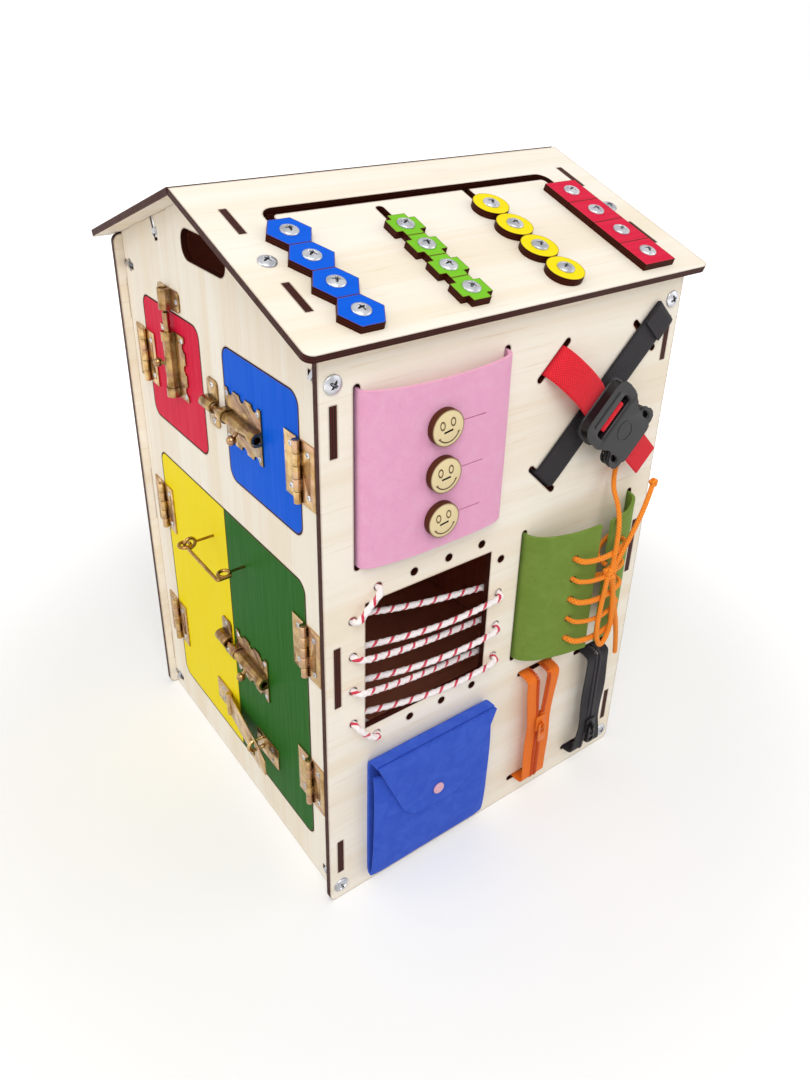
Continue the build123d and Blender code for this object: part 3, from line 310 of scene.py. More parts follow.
redWeb = wovenMaterial("redPolypropyleneWebbing", "#ea2232", "#b81322", 1.7)
blackWeb = wovenMaterial("blackPolypropyleneWebbing", "#262226", "#0e0c0f", 1.7)
orangeBraid = wovenMaterial("orangeBraidedLace", "#fd952a", "#dc6c10", 2.0, 8.0)
orangeTape = wovenMaterial("orangeZipTape", "#f77c1c", "#d8620d", 1.3)
blackTape = wovenMaterial("blackZipTape", "#242025", "#100e11", 1.3)


# Two-colour twisted cotton lace: a thin red yarn laid among white ones, so that red bars wind round the cord
def twistedMaterial(name, white, red, dust, pitch):
    material, add, shader = newMaterial(name, Roughness=0.85, Sheen_Weight=0.2)
    along, around = add("SeparateXYZ", add("UVMap", uv_map="along")).outputs[:2]
    turn = add("Math FRACT", add("Math ADD", add("Math DIVIDE", along, pitch), around))
    band = add("Math MULTIPLY", add("MapRange", turn, 0.0, 0.04), add("MapRange", turn, 0.25, 0.21))
    shade = add("TexNoise", add("TexCoord").outputs["Object"], Scale=900.0, Detail=4.0)
    wire(shader, Base_Color=add("Mix", add("MapRange", shade, 0.4, 0.7, 0.0, 0.2),
                                add("Mix", band, white, red), dust),
         Normal=add("Bump", Height=shade, Strength=0.3, Distance=0.0003))
    return material


candyCotton = twistedMaterial("redWhiteCottonLace", "#fbf3f2", "#d22a48", "#b9a0a4", 10.5)
print("stage: materials")


def shadeSmooth(mesh, sharp):
    mesh.polygons.foreach_set("use_smooth", [True] * len(mesh.polygons))
    mesh.set_sharp_from_angle(angle=math.radians(sharp))


def linkPiece(name, mesh, material, body, sharp=35):
    mesh.materials.append(material)
    shadeSmooth(mesh, sharp)
    mesh.update()
    piece = bpy.data.objects.new(name, mesh)
    bpy.context.scene.collection.objects.link(piece)
    if body:
        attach(piece, body)
    return piece


# Hides the CAD node that a piece stands for; a joined piece gets its body here too
def standFor(piece, node, body=None):
    if body:
        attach(piece, body)
    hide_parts(node)
    return piece


def newMesh(name, verts, faces):
    mesh = bpy.data.meshes.new(name)
    mesh.from_pydata([tuple(v) for v in verts], [], faces)
    return mesh


# The map is in millimetres: uvs has one pair for each vertex
def addMap(mesh, uvs):
    layer = mesh.uv_layers.new(name="along")
    for loop in mesh.loops:
        layer.data[loop.index].uv = uvs[loop.vertex_index]
    return mesh


def pieceFrom(name, verts, faces, material, body, uvs, sharp):
    return linkPiece(name, addMap(newMesh(name, verts, faces), uvs), material, body, sharp)


# Gathers the sources in one bmesh, runs the steps on it and writes it to the target
def meshFrom(target, sources, *steps):
    work = bmesh.new()
    for source in sources:
        work.from_mesh(source)
    for step in steps:
        step(work)
    work.to_mesh(target)
    work.free()
    return target


def outwards(work):
    bmesh.ops.recalc_face_normals(work, faces=work.faces)


def settled(piece):
    graph = bpy.context.evaluated_depsgraph_get()
    mesh = bpy.data.meshes.new_from_object(piece.evaluated_get(graph))
    piece.modifiers.clear()
    piece.data = mesh
    return piece


def joined(parts):
    meshFrom(parts[0].data, [part.data for part in parts])
    for part in parts[1:]:
        old = part.data
        bpy.data.objects.remove(part)
        bpy.data.meshes.remove(old)
    return parts[0]


def addSpline(curve, kind, points):
    spline = curve.splines.new(kind)
    spline.points.add(len(points) - 1)
    for p, q in zip(spline.points, points):
        p.co = (*q, 1)
    return spline


def meshOfCurve(curve):
    carrier = bpy.data.objects.new(curve.name, curve)
    mesh = bpy.data.meshes.new_from_object(carrier)
    bpy.data.objects.remove(carrier)
    bpy.data.curves.remove(curve)
    return mesh


def splineLine(points, resolution=10):
    curve = bpy.data.curves.new("line", "CURVE")
    curve.dimensions = "3D"
    spline = addSpline(curve, "NURBS", points)
    spline.order_u = 3
    spline.use_endpoint_u = True
    spline.resolution_u = resolution
    mesh = meshOfCurve(curve)
    line = [v.co.copy() for v in mesh.vertices]
    bpy.data.meshes.remove(mesh)
    return line


# Each point of a line, with the direction there and the length up to it
def walked(line):
    travelled = 0.0
    for i, p in enumerate(line):
        ahead = (line[min(i + 1, len(line) - 1)] - line[max(i - 1, 0)]).normalized()
        travelled += (p - line[max(i - 1, 0)]).length
        yield p, ahead, travelled


# Faces between rings of vertices that follow each other, with both ends closed
def ringFaces(rings, sides):
    faces = []
    for i in range(rings - 1):
        for k in range(sides):
            a, b = i * sides + k, i * sides + (k + 1) % sides
            faces.append((a, b, b + sides, a + sides))
    return faces + [tuple(range(sides))[::-1], tuple(range((rings - 1) * sides, rings * sides))]


# A tube round a line in metres; a twist gives it two strands that wind round each other
def tubeAlong(name, line, radius, material, body, sides=12, flat=1.0, twist=0.0, strand=0.0):
    verts, uvs = [], []
    side = Vector((0, 0, 1))
    for p, ahead, travelled in walked(line):
        travelled /= millimetre
        side = side - ahead * side.dot(ahead)
        if side.length < 1e-4:  # the line runs straight along the old side
            side = ahead.orthogonal()
        side.normalize()
        third = ahead.cross(side)
        for k in range(sides):
            angle = 2 * math.pi * k / sides
            swell = 1 + strand * math.cos(2 * (angle - 2 * math.pi * travelled / twist)) if twist else 1
            verts.append(p + radius * swell * (math.cos(angle) * side + flat * math.sin(angle) * third))
            uvs.append((travelled, k / sides))
    piece = pieceFrom(name, verts, ringFaces(len(line), sides), material, body, uvs, 70)
    layer = piece.data.uv_layers["along"]
    for polygon in piece.data.polygons:  # the last column of faces runs on to 1, not back to 0
        values = [layer.data[i].uv.y for i in polygon.loop_indices]
        if len(values) == 4 and max(values) - min(values) > 0.5:
            for i in polygon.loop_indices:
                if layer.data[i].uv.y < 0.5:
                    layer.data[i].uv.y += 1
    return piece


# Flat outlines, millimetres
def roundedBox(width, height, corner, x, y=0.0):
    points, steps = [], 6
    for cx, cy, start in ((1, 1, 0), (-1, 1, 90), (-1, -1, 180), (1, -1, 270)):
        for i in range(steps + 1):
            angle = math.radians(start + 90 * i / steps)
            points.append((x + cx * (width / 2 - corner) + corner * math.cos(angle),
                           y + cy * (height / 2 - corner) + corner * math.sin(angle)))
    return points


def ringOutline(radius, x=0.0, y=0.0, steps=32):
    return [(x + radius * math.cos(2 * math.pi * i / steps), y + radius * math.sin(2 * math.pi * i / steps))
            for i in range(steps)]


# A plate cut to outlines (holes among them), its rims rounded by the bevel, from z = 0 up to its thickness
def plateMesh(name, outlines, thickness, bevel=0.2, segments=2):
    curve = bpy.data.curves.new(name, "CURVE")
    curve.dimensions, curve.fill_mode = "2D", "BOTH"
    curve.extrude, curve.bevel_depth, curve.bevel_resolution = thickness / 2 - bevel, bevel, segments - 1
    curve.offset = -bevel
    for outline in outlines:
        addSpline(curve, "POLY", [(*q, 0) for q in outline]).use_cyclic_u = True
    mesh = meshOfCurve(curve)
    return meshFrom(mesh, [mesh], lambda work: bmesh.ops.remove_doubles(work, verts=work.verts, dist=0.001),
                    lambda work: bmesh.ops.translate(work, verts=work.verts, vec=(0, 0, thickness / 2)), outwards)


# A body turned on a lathe: (radius, height) pairs from its foot up, millimetres
def turnedMesh(name, profile, steps=40):
    verts = [(x, y, height) for radius, height in profile for x, y in ringOutline(radius, steps=steps)]
    return newMesh(name, verts, ringFaces(len(profile), steps))


def placed(mesh, placeOf):
    mesh.transform(placeOf)
    return mesh


# A copy of a CAD piece whose sharp rims are broken, as pressed and plated sheet has them
def softened(node, material, body, width, segments=2):
    mesh = meshFrom(bpy.data.meshes.new(node), [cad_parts[node].data],
                    lambda work: bmesh.ops.remove_doubles(work, verts=work.verts, dist=0.000002),
                    lambda work: bmesh.ops.dissolve_limit(work, angle_limit=math.radians(0.8), verts=work.verts,
                                                          edges=work.edges))
    piece = linkPiece(node + "_worked", mesh, material, body, 30)
    bevel = piece.modifiers.new("rims", "BEVEL")
    bevel.width, bevel.segments = width * millimetre, segments
    bevel.limit_method, bevel.angle_limit = "ANGLE", math.radians(40)
    bevel.use_clamp_overlap = True
    settled(piece).data.set_sharp_from_angle(angle=math.radians(40))
    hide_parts(node)
    return piece


# Repeated small pieces are copies on points, each turned by the point's own attribute
def placedCopiesTree():
    tree = bpy.data.node_groups.new("placedCopies", "GeometryNodeTree")
    kinds = {"Places": "Geometry", "Copied piece": "Object", "Copy scale": "Float", "Finish": "Material"}
    sockets = {label: tree.interface.new_socket(label, in_out="INPUT", socket_type="NodeSocket" + kind)
               for label, kind in kinds.items()}
    tree.interface.new_socket("Geometry", in_out="OUTPUT", socket_type="NodeSocketGeometry")
    start, end = tree.nodes.new("NodeGroupInput"), tree.nodes.new("NodeGroupOutput")
    info = addNode(tree, "GeometryNodeObjectInfo", Object=start.outputs["Copied piece"])
    turn = addNode(tree, "GeometryNodeInputNamedAttribute", data_type="QUATERNION", Name="turn")
    copies = addNode(tree, "GeometryNodeInstanceOnPoints", Points=start.outputs["Places"],
                     Instance=info.outputs["Geometry"], Rotation=turn, Scale=start.outputs["Copy scale"])
    real = addNode(tree, "GeometryNodeRealizeInstances", copies)
    wire(end, addNode(tree, "GeometryNodeSetMaterial", Geometry=real, Material=start.outputs["Finish"]))
    return tree, sockets


copiesTree, copiesSockets = placedCopiesTree()


def scattered(name, copied, places, material, body):
    source = bpy.data.objects.new(name + "Copy", copied)
    mesh = newMesh(name, [m.to_translation() for m in places], [])
    turns = mesh.attributes.new("turn", "QUATERNION", "POINT")
    for i, m in enumerate(places):
        turns.data[i].value = m.to_quaternion()
    piece = bpy.data.objects.new(name, mesh)
    bpy.context.scene.collection.objects.link(piece)
    modifier = piece.modifiers.new("copies", "NODES")
    modifier.node_group = copiesTree
    for label, value in (("Copied piece", source), ("Copy scale", millimetre), ("Finish", material)):
        modifier[copiesSockets[label].identifier] = value
    settled(piece)
    bpy.data.objects.remove(source)
    shadeSmooth(piece.data, 35)
    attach(piece, body)
    return piece


print("stage: helpers")

# Screws: truss heads with a cross recess, and on the long ones a shank and a square nut. Each turn is listed.
frameScrew = {"radius": 5, "rise": 2.4, "rim": 0.8, "arm": 2.9, "armWidth": 1.5, "depth": 1.7}
plateScrew = {"radius": 1.75, "rise": 0.55, "rim": 0.12, "arm": 1.15, "armWidth": 0.62, "depth": 0.5}
shankAndNut = {"radius": 2.0, "nutSide": 7, "nutThick": 3.2}
wallScrews = {"x": 117, "down": 71.91, "heights": (11.2, 348.745), "frontTurn": (17, 61, 38),
              "backTurn": (50, -23, 31), "roofTurn": (28, 50), "roofBackTurn": (70, -21)}
tileScrews = {"down": 123, "out": 4.3, "chains": {  # x, the pitch up the roof, and the turns of the four heads
    "blue": (-96.9, 22.3, (12, 64, 35, 80)), "green": (-32.3, 19.4, (41, 9, 73, 30)),
    "yellow": (32.3, 21.8, (25, 55, 5, 66)), "red": (96.9, 22.1, (60, 33, 82, 14))}}


def headMesh(name, radius, rise, rim, arm, armWidth, depth, shank=0.0, nutDrop=0.0):
    steps, levels = 64, 20
    rimStart, rimShare = 0.93, 0.35  # where the dome turns down to its rim, and how far
    verts = []
    for j in range(levels + 1):
        r = radius * (j / levels) ** 0.9 if j else 0.02
        for x, y in ringOutline(r, steps=steps):
            height = rim + (rise - rim) * (1 - (r / radius) ** 2)
            if r > rimStart * radius:
                height -= rim * rimShare * ((r / radius - rimStart) / (1 - rimStart)) ** 2
            cut = 0.0
            for p, q in ((abs(x), abs(y)), (abs(y), abs(x))):  # the recess narrows and rises towards its arms' ends
                reach = max(0.0, min(1.0, (arm - p) / (0.35 * arm)))
                wall = max(0.0, min(1.0, (armWidth / 2 * (1.2 - 0.4 * p / arm) - q) / (0.35 * armWidth)))
                cut = max(cut, reach * wall * (1 - 0.35 * p / arm))
            verts.append((x, y, height - depth * cut))
    below = [(radius, 0.0)]
    if shank:
        below += [(shankAndNut["radius"], 0.0), (shankAndNut["radius"], -shank)]
    verts += [(x, y, height) for r, height in below for x, y in ringOutline(r, steps=steps)]
    faces = ringFaces(levels + 1 + len(below), steps)
    if nutDrop:
        start, half = len(verts), shankAndNut["nutSide"] / 2
        verts += [(half * a, half * b, -nutDrop - c) for c in (0, shankAndNut["nutThick"])
                  for a, b in ((-1, -1), (1, -1), (1, 1), (-1, 1))]
        faces += [tuple(start + i for i in f) for f in
                  ((0, 1, 2, 3), (7, 6, 5, 4), (0, 4, 5, 1), (1, 5, 6, 2), (2, 6, 7, 3), (3, 7, 4, 0))]
    mesh = newMesh(name, verts, faces)
    return meshFrom(mesh, [mesh], outwards)


frameScrewMesh = headMesh("frameScrew", **frameScrew, shank=16.3, nutDrop=11.1)
tileScrewMesh = headMesh("tileScrew", **frameScrew, shank=12.8, nutDrop=8.6)
plateScrewMesh = headMesh("plateScrew", **plateScrew)
places = []
for k, x in enumerate((-wallScrews["x"], wallScrews["x"])):
    for j, z in enumerate(wallScrews["heights"]):
        for placeOn, turns in ((frontFrame, wallScrews["frontTurn"]), (backFrame, wallScrews["backTurn"])):
            places.append(placeOn(x, z, 0, turns[0] + turns[1] * k + turns[2] * j))
    for slope, turns in ((-1, wallScrews["roofTurn"]), (1, wallScrews["roofBackTurn"])):
        places.append(roofFrame(x, wallScrews["down"], 0, turns[0] + turns[1] * k, slope))
standFor(scattered("frameScrews", frameScrewMesh, places, zincScrew, "house"), "frame_screws")
for colour, (x, pitch, turns) in tileScrews["chains"].items():
    places = [roofFrame(x, tileScrews["down"] - i * pitch, tileScrews["out"], turn) for i, turn in enumerate(turns)]
    piece = scattered(colour + "TileScrews", tileScrewMesh, places, zincScrew, colour + "_chain")
    standFor(piece, colour + "_tile_screws")

# Brass-plated hardware: the body each piece rides on, and the width of its broken rims
hardware = {
    "wall_hinge_leaves": ("house", 0.18), "red_hinge_leaf": ("red_door", 0.18), "blue_hinge_leaf": ("blue_door", 0.18),
    "yellow_hinge_leaves": ("yellow_door", 0.18), "green_hinge_leaves": ("green_door", 0.18),
    "red_bolt_case": ("red_door", 0.22), "blue_bolt_case": ("blue_door", 0.22),
    "green_bolt_case": ("green_door", 0.22), "red_bolt_rod": ("red_bolt", 0.2), "blue_bolt_rod": ("blue_bolt", 0.2),
    "green_bolt_rod": ("green_bolt", 0.2), "wall_keepers": ("house", 0.22), "yellow_keeper": ("yellow_door", 0.22),
    "hasp_leaf": ("yellow_door", 0.2), "hasp_strap": ("hasp_strap", 0.25), "hasp_staple": ("green_door", 0.2),
}
for node, (body, width) in hardware.items():
    piece = softened(node, boltBrass if "bolt" in node or "keeper" in node else brassPlate, body, width)

# Small screws in every leaf and plate, 1 mm off the wall. Hinges go by their pin's u and heights, bolts by u, z and
# whether they stand, and pairs by u, z, half their spacing both ways, a turn and how far it goes on.
smallScrews = {
    "hinges": {"red": (-97.3, (293.48,)), "blue": (97.3, (293.48,)), "yellow": (-97.3, (78.95, 179.87)),
               "green": (97.3, (78.95, 179.87))}, "hingeSide": 8.5, "hingeStep": 12,
    "bolts": {"red": (-52, 301.98, True), "blue": (37, 294.48, False), "green": (26, 119, False)},
    "boltLong": 17.9, "boltShort": 13.2,
    "pairs": (("wallPlateScrews", "house", -52, 343.18, 11.3, 0, 30, 11.3),
              ("wallPlateScrews", "house", 0, 294.48, 0, 11.3, 12, 11.3),
              ("yellowPlateScrews", "yellow_door", -9.5, 119, 0, 11.3, 40, 11.3),
              ("yellowPlateScrews", "yellow_door", -24.25, 58, 0, 4.75, 0, 57),
              ("staplePlateScrews", "green_door", 47.5, 58, 0, 4.6, 20, 41.4)),
}
screwed, wallPlaces = {}, []
for k, (door, (u, heights)) in enumerate(smallScrews["hinges"].items()):
    own = screwed[door + "HingeScrews", door + "_door"] = []
    side = math.copysign(smallScrews["hingeSide"], u)
    for z in heights:
        for step in (-smallScrews["hingeStep"], smallScrews["hingeStep"]):
            wallPlaces.append(gableFrame(u + side, z + step, 1.0, 20 + 47 * k + 3 * step))
            own.append(gableFrame(u - side, z + step, 1.0, 66 - 31 * k + 2 * step))
screwed["wallPlateScrews", "house"] = wallPlaces
for k, (door, (u, z, upright)) in enumerate(smallScrews["bolts"].items()):
    own = screwed[door + "BoltScrews", door + "_door"] = []
    for a in (-smallScrews["boltLong"], smallScrews["boltLong"]):
        for b in (-smallScrews["boltShort"], smallScrews["boltShort"]):
            du, dz = (b, a) if upright else (a, b)
            own.append(gableFrame(u + du, z + dz, 1.0, 15 + 33 * k + 2 * a + b))
for name, body, u, z, du, dz, turn, more in smallScrews["pairs"]:
    screwed.setdefault((name, body), []).extend(
        gableFrame(u + way * du, z + way * dz, 1.0, turn + way * more) for way in (-1, 1))
for (name, body), places in screwed.items():
    scattered(name, plateScrewMesh, places, zincScrew, body)

# Hook and eyes of drawn wire, on one height of the two lower doors
latch = {"z": 194.0, "ring": 3.6, "radius": 1.1, "yellow": -19.5, "green": 23.3, "stand": 20.0, "drop": 1.6,
         "shankEnd": -9.0, "thread": 0.7,
         "arm": [(-15.9, 20), (-6, 20), (8, 20), (20, 20), (25.5, 20), (27.5, 20), (27.5, 17.6), (27.5, 11.0)]}


def wireTube(name, line, body=None):
    return tubeAlong(name, line, latch["radius"] * millimetre, knuckleBrass, body, 14)


def wireRing(name, centre, first, second, body=None):
    angles = [2 * math.pi * i / 40 for i in range(41)]
    return wireTube(name, [centre + (Vector(first) * math.cos(a) + Vector(second) * math.sin(a))
                           * latch["ring"] * millimetre for a in angles], body)


def threadedShank(name, u, top, body):
    profile, out = [(0.3, latch["shankEnd"])], latch["shankEnd"] + 0.6
    while out < -0.4:
        profile += [(0.75, out), (1.12, out + latch["thread"] / 2)]
        out += latch["thread"]
    profile += [(0.75, out), (0.88, -0.2), (0.88, top - 0.6), (1.15, top)]
    return linkPiece(name, placed(turnedMesh(name, profile, 20), gableFrame(u, latch["z"])), knuckleBrass, body, 30)


# second is the ring's other axis: up for a ring that stands, along the wall for one seen edge on
def eye(name, u, centreOut, second, body, node):
    shank = threadedShank(name, u, centreOut - latch["ring"] + 0.4, body)
    ring = wireRing(name + "Ring", onGable(u, latch["z"], centreOut), left, second)
    standFor(joined([shank, ring]), node)


eye("yellowEye", latch["yellow"], latch["stand"] - latch["ring"], up, "yellow_door", "yellow_screw_eye")
eye("greenEye", latch["green"], latch["stand"] - latch["drop"] - latch["ring"] - latch["radius"], (0, 1, 0),
    "green_door", "green_screw_eye")
hookRing = wireRing("latchHook", onGable(latch["yellow"], latch["z"], latch["stand"]), front, left, "latch_hook")
hookArm = wireTube("latchArm", splineLine([onGable(u, latch["z"], out) for u, out in latch["arm"]]))
standFor(joined([hookRing, hookArm]), "latch_hook")
print("stage: hardware")

# Laces. The window's runs through its eyelets: points of x, z and out, front and back of the wall
windowLace = {"radius": 1.78, "twist": 10.5, "strand": 0.13, "route": [
    (-91, 228, -12.6), (-91, 228, -5), (-91, 228, 3.0), (-93.4, 225.8, 4.8), (-99, 220.5, 4.4), (-104.8, 214.3, 4.6),
    (-107, 212, 3.0), (-107, 212, -5), (-105, 210.5, -8.6), (-80, 201.5, -9.4), (-50, 194.5, -9.6), (-20, 190, -9),
    (-5, 188.4, -8.2), (-3, 188, -5), (-3, 188, 3.0), (-5.6, 187.3, 4.6), (-14, 185.6, 3.6), (-40, 182.0, 0.6),
    (-70, 182.4, -3.4), (-100, 186.2, -7.4), (-106, 187.6, -7.6), (-107, 188, -4), (-107, 188, 3.0),
    (-104.6, 187.4, 4.7), (-97, 184.6, 3.9), (-75, 177.6, 0.2), (-45, 170.6, -4.2), (-14, 165.4, -7.8),
    (-5, 164.3, -8.0), (-3, 164, -5), (-3, 164, 3.0), (-5.4, 163.2, 4.7), (-13, 160.8, 3.8), (-38, 157.4, 0.8),
    (-68, 157.6, -3.2), (-99, 162.0, -7.4), (-106, 163.6, -7.6), (-107, 164, -4), (-107, 164, 3.0),
    (-104.4, 163.6, 4.7), (-97, 161.4, 3.8), (-72, 153.4, -0.2), (-42, 146.4, -4.6), (-13, 141.4, -7.8),
    (-5, 140.2, -8.0), (-3, 140, -5), (-3, 140, 3.0), (-5.4, 139.2, 4.7), (-13, 136.6, 3.9), (-38, 132.6, 1.0),
    (-68, 133.2, -3.0), (-99, 137.8, -7.4), (-106, 139.6, -7.6), (-107, 140, -4), (-107, 140, 3.0),
    (-105.6, 137.6, 4.8), (-100, 130.2, 4.9), (-93.6, 125.4, 4.8), (-91, 124, 3.0), (-91, 124, -5), (-91, 124, -12.6)]}
line = splineLine([onFront(x, z, out) for x, z, out in windowLace["route"]], 14)
piece = tubeAlong("windowLace", line, windowLace["radius"] * millimetre, candyCotton, "house", 16,
                  twist=windowLace["twist"], strand=windowLace["strand"])
standFor(piece, "window_lace")

# The shoe lace zigzags through the punched felt: points of x, out and z
shoeLace = {"radius": 1.78, "flat": 0.82, "route": [
    (66, 22, 186.4), (64.5, 12, 182), (52, 8.6, 166), (43.5, 8, 151), (42, 8.2, 144.5), (42.6, 13, 143.8),
    (43.4, 20.4, 144), (47, 22.4, 142.6), (56, 23.6, 141.4), (66, 24.2, 142), (77, 23.4, 143.2), (83, 21.6, 144),
    (84.6, 18, 144.2), (84.4, 9.5, 145), (84, 8, 152), (84.4, 9.5, 158.4), (84.4, 18, 159), (82, 22, 158.6),
    (74, 23.6, 157.4), (64, 24.6, 156.2), (53, 23.6, 157), (46, 22, 158.2), (43, 20, 159), (42.6, 12, 159.4),
    (42.4, 8.4, 161), (43, 8, 167), (42.6, 9, 173.4), (43, 20, 174), (46.5, 22.2, 172.8), (56, 23.8, 171.4),
    (66, 24.6, 171.8), (77, 23.6, 173), (83, 21.8, 173.9), (84.5, 18, 174.2), (84.4, 9.5, 175), (84, 8, 182),
    (84.4, 9.5, 188.4), (84.4, 18, 189), (82, 22, 188.8), (74, 23.8, 188), (64, 24.8, 187.2), (53, 23.8, 187.6),
    (46, 22, 188.6), (43, 20, 189), (42.6, 12, 189.4), (42.4, 8.4, 191), (43, 8, 197), (42.6, 9, 203.4),
    (43, 20, 204), (46.5, 22.2, 203), (56, 23.8, 202.2), (66, 24.4, 202.4), (77, 23.4, 203.4), (83, 21.4, 204.1),
    (84.5, 17, 204.2), (84, 9.5, 203.6), (80, 8, 201), (64.5, 12, 196.5), (66, 22, 193.6)]}
line = splineLine([onFront(x, z, out) for x, out, z in shoeLace["route"]], 8)
piece = tubeAlong("shoeLaceRun", line, shoeLace["radius"] * millimetre, orangeBraid, "house", 14,
                  flat=shoeLace["flat"])
standFor(piece, "shoe_lace")

# Its two knots by x, z, out, turns, size and cord radius, then the free cords that leave the first one
bow = {
    "radius": 1.8, "flat": 0.8,
    "knots": {"laceKnot": (66, 190, 25.6, 3, 3.0, 1.7), "laceEndKnot": (102, 240, 20, 2, 1.5, 1.5)},
    "cords": {
        "laceTailUp": ([(66, 26.5, 190), (69, 26, 212), (75, 19, 229), (79.5, 6, 240), (84, 4.5, 252)], "bare"),
        "laceTailRight": ([(66, 26.5, 190), (81, 26, 212), (95, 23, 230), (102, 20, 240)], "knot"),
        "laceStrand": ([(66, 26.5, 190), (76, 25.5, 160), (85, 23.5, 135), (92, 20, 112)], "bare"),
        "laceLoop": ([(64, 26.5, 190), (60, 27, 165), (60, 27, 144), (66, 27, 132), (73, 27, 144), (72, 27, 165),
                      (68, 26.5, 190)], "object")},
}


# A knot is the cord itself, wound round a small core
def tieKnot(name, x, z, out, turns, size, radius):
    points = []
    for i in range(turns * 12 + 1):
        a = 2 * math.pi * i / 12
        points.append(onFront(x, z, out) + Vector((size * math.cos(a) * (0.75 + 0.25 * math.cos(2.5 * a)),
                                                   -0.6 * size * math.sin(1.5 * a + 0.4),
                                                   size * math.sin(a) * (0.8 + 0.2 * math.sin(1.7 * a)))) * millimetre)
    knot = tubeAlong(name, splineLine(points, 4), radius * millimetre, orangeBraid, "house", 12)
    return knot


knots = {name: tieKnot(name, *numbers) for name, numbers in bow["knots"].items()}
for name, (points, end) in bow["cords"].items():
    line = splineLine([onFront(x, z, out) for x, out, z in points], 14)
    length = sum((b - a).length for a, b in zip(line, line[1:]))
    piece = tubeAlong(name, line, bow["radius"] * millimetre, orangeBraid, "house", 14, flat=bow["flat"])
    standFor(piece, "shoe_lace")
    tuple(line[0])
    [tuple(p) for p in line]
print("stage: laces")


# A path of two coordinates in mm: gives the point at a share of its length, and the length
def sampledPath(points):
    line = splineLine([(a, b, 0) for a, b in points], 12)
    lengths = [travelled for _, _, travelled in walked(line)]

    def at(share):
        goal = max(0.0, min(1.0, share)) * lengths[-1]
        for i in range(1, len(line)):
            if lengths[i] >= goal:
                part = (goal - lengths[i - 1]) / max(1e-9, lengths[i] - lengths[i - 1])
                return line[i - 1].lerp(line[i], part)
        return line[-1]

    return at, lengths[-1]


# A sheet with a real thickness and cut rims: middle gives its middle surface by two shares, size is its flat cut
def sheetPiece(name, middle, columns, rows, material, body, size, thickness=2.0, wave=0.12):
    points = [[middle(i / columns, j / rows) for j in range(rows + 1)] for i in range(columns + 1)]
    outer, inner, uvs = [], [], []
    for i in range(columns + 1):
        for j in range(rows + 1):
            along = points[min(i + 1, columns)][j] - points[max(i - 1, 0)][j]
            upward = points[i][min(j + 1, rows)] - points[i][max(j - 1, 0)]
            normal = along.cross(upward).normalized()
            p = points[i][j]
            p = p + normal * noise.noise(p * 55) * wave * millimetre  # lumps about 18 mm wide
            outer.append(p + normal * thickness / 2 * millimetre)
            inner.append(p - normal * thickness / 2 * millimetre)
            uvs.append((i / columns * size[0], j / rows * size[1]))
    count, step = len(outer), rows + 1
    faces = []
    for i in range(columns):
        for j in range(rows):
            a, b, c, d = i * step + j, (i + 1) * step + j, (i + 1) * step + j + 1, i * step + j + 1
            faces += [(a, b, c, d), (count + a, count + d, count + c, count + b)]
    for i in range(columns):
        low, high = i * step, i * step + rows
        faces += [(low, count + low, count + low + step, low + step),
                  (high, high + step, count + high + step, count + high)]
    for j in range(rows):
        first, last = j, columns * step + j
        faces += [(first, first + 1, count + first + 1, count + first),
                  (last, count + last, count + last + 1, last + 1)]
    return pieceFrom(name, outer + inner, faces, material, body, uvs * 2, 50)


def cutBy(piece, meshes):
    cutter = bpy.data.objects.new("cutter", meshFrom(bpy.data.meshes.new("cutter"), meshes))
    bpy.context.scene.collection.objects.link(cutter)
    boolean = piece.modifiers.new("cut", "BOOLEAN")
    boolean.object, boolean.operation, boolean.solver = cutter, "DIFFERENCE", "EXACT"
    settled(piece)
    bpy.data.objects.remove(cutter)
    piece.data.set_sharp_from_angle(angle=math.radians(50))


def boxMesh(low, high):
    verts = [(x, y, z) for x in (low[0], high[0]) for y in (low[1], high[1]) for z in (low[2], high[2])]
    return newMesh("box", verts, [(0, 1, 3, 2), (4, 6, 7, 5), (0, 4, 5, 1), (2, 3, 7, 6), (0, 2, 6, 4), (1, 5, 7, 3)])


# The buttoned flap: a path of x and out, sewn in at both ends, with a slit for each button
flapLook = {"path": [(-103.1, -8.6), (-103.1, -2), (-102.9, 1.9), (-98.6, 4.4), (-88, 6.2), (-74, 7.5), (-59, 7.95),
                     (-42, 8.2), (-26, 7.9), (-16, 6.6), (-11.4, 3.4), (-11, -2), (-11, -8.6)],
            "bottom": 245.2, "top": 343.6, "sag": 2.6, "lift": 1.6, "ripple": 0.5, "tall": 98.4,
            "slit": ((-57, -0.3, 3), (-31.5, 0.3, 13))}
tabLook = {"path": [(-95, 1.0), (-80, 1.1), (-60, 1.3), (-40, 1.0)], "bottom": 254, "tall": 81}
buttonHeights = (264.2, 290.5, 316.8)
flapAt, flapLength = sampledPath(flapLook["path"])
tabAt, tabLength = sampledPath(tabLook["path"])


def flapMiddle(s, t):
    p = flapAt(s)
    top = flapLook["top"] - flapLook["sag"] * math.sin(math.pi * min(1.0, s / 0.93)) ** 1.2
    bottom = flapLook["bottom"] + flapLook["lift"] * s ** 2
    ripple = flapLook["ripple"] * math.sin(3 * t) * math.sin(math.pi * s)
    return onFront(p.x, bottom + t * (top - bottom), p.y + ripple)


def tabMiddle(s, t):
    return onFront(tabAt(s).x, tabLook["bottom"] + t * tabLook["tall"], tabAt(s).y)


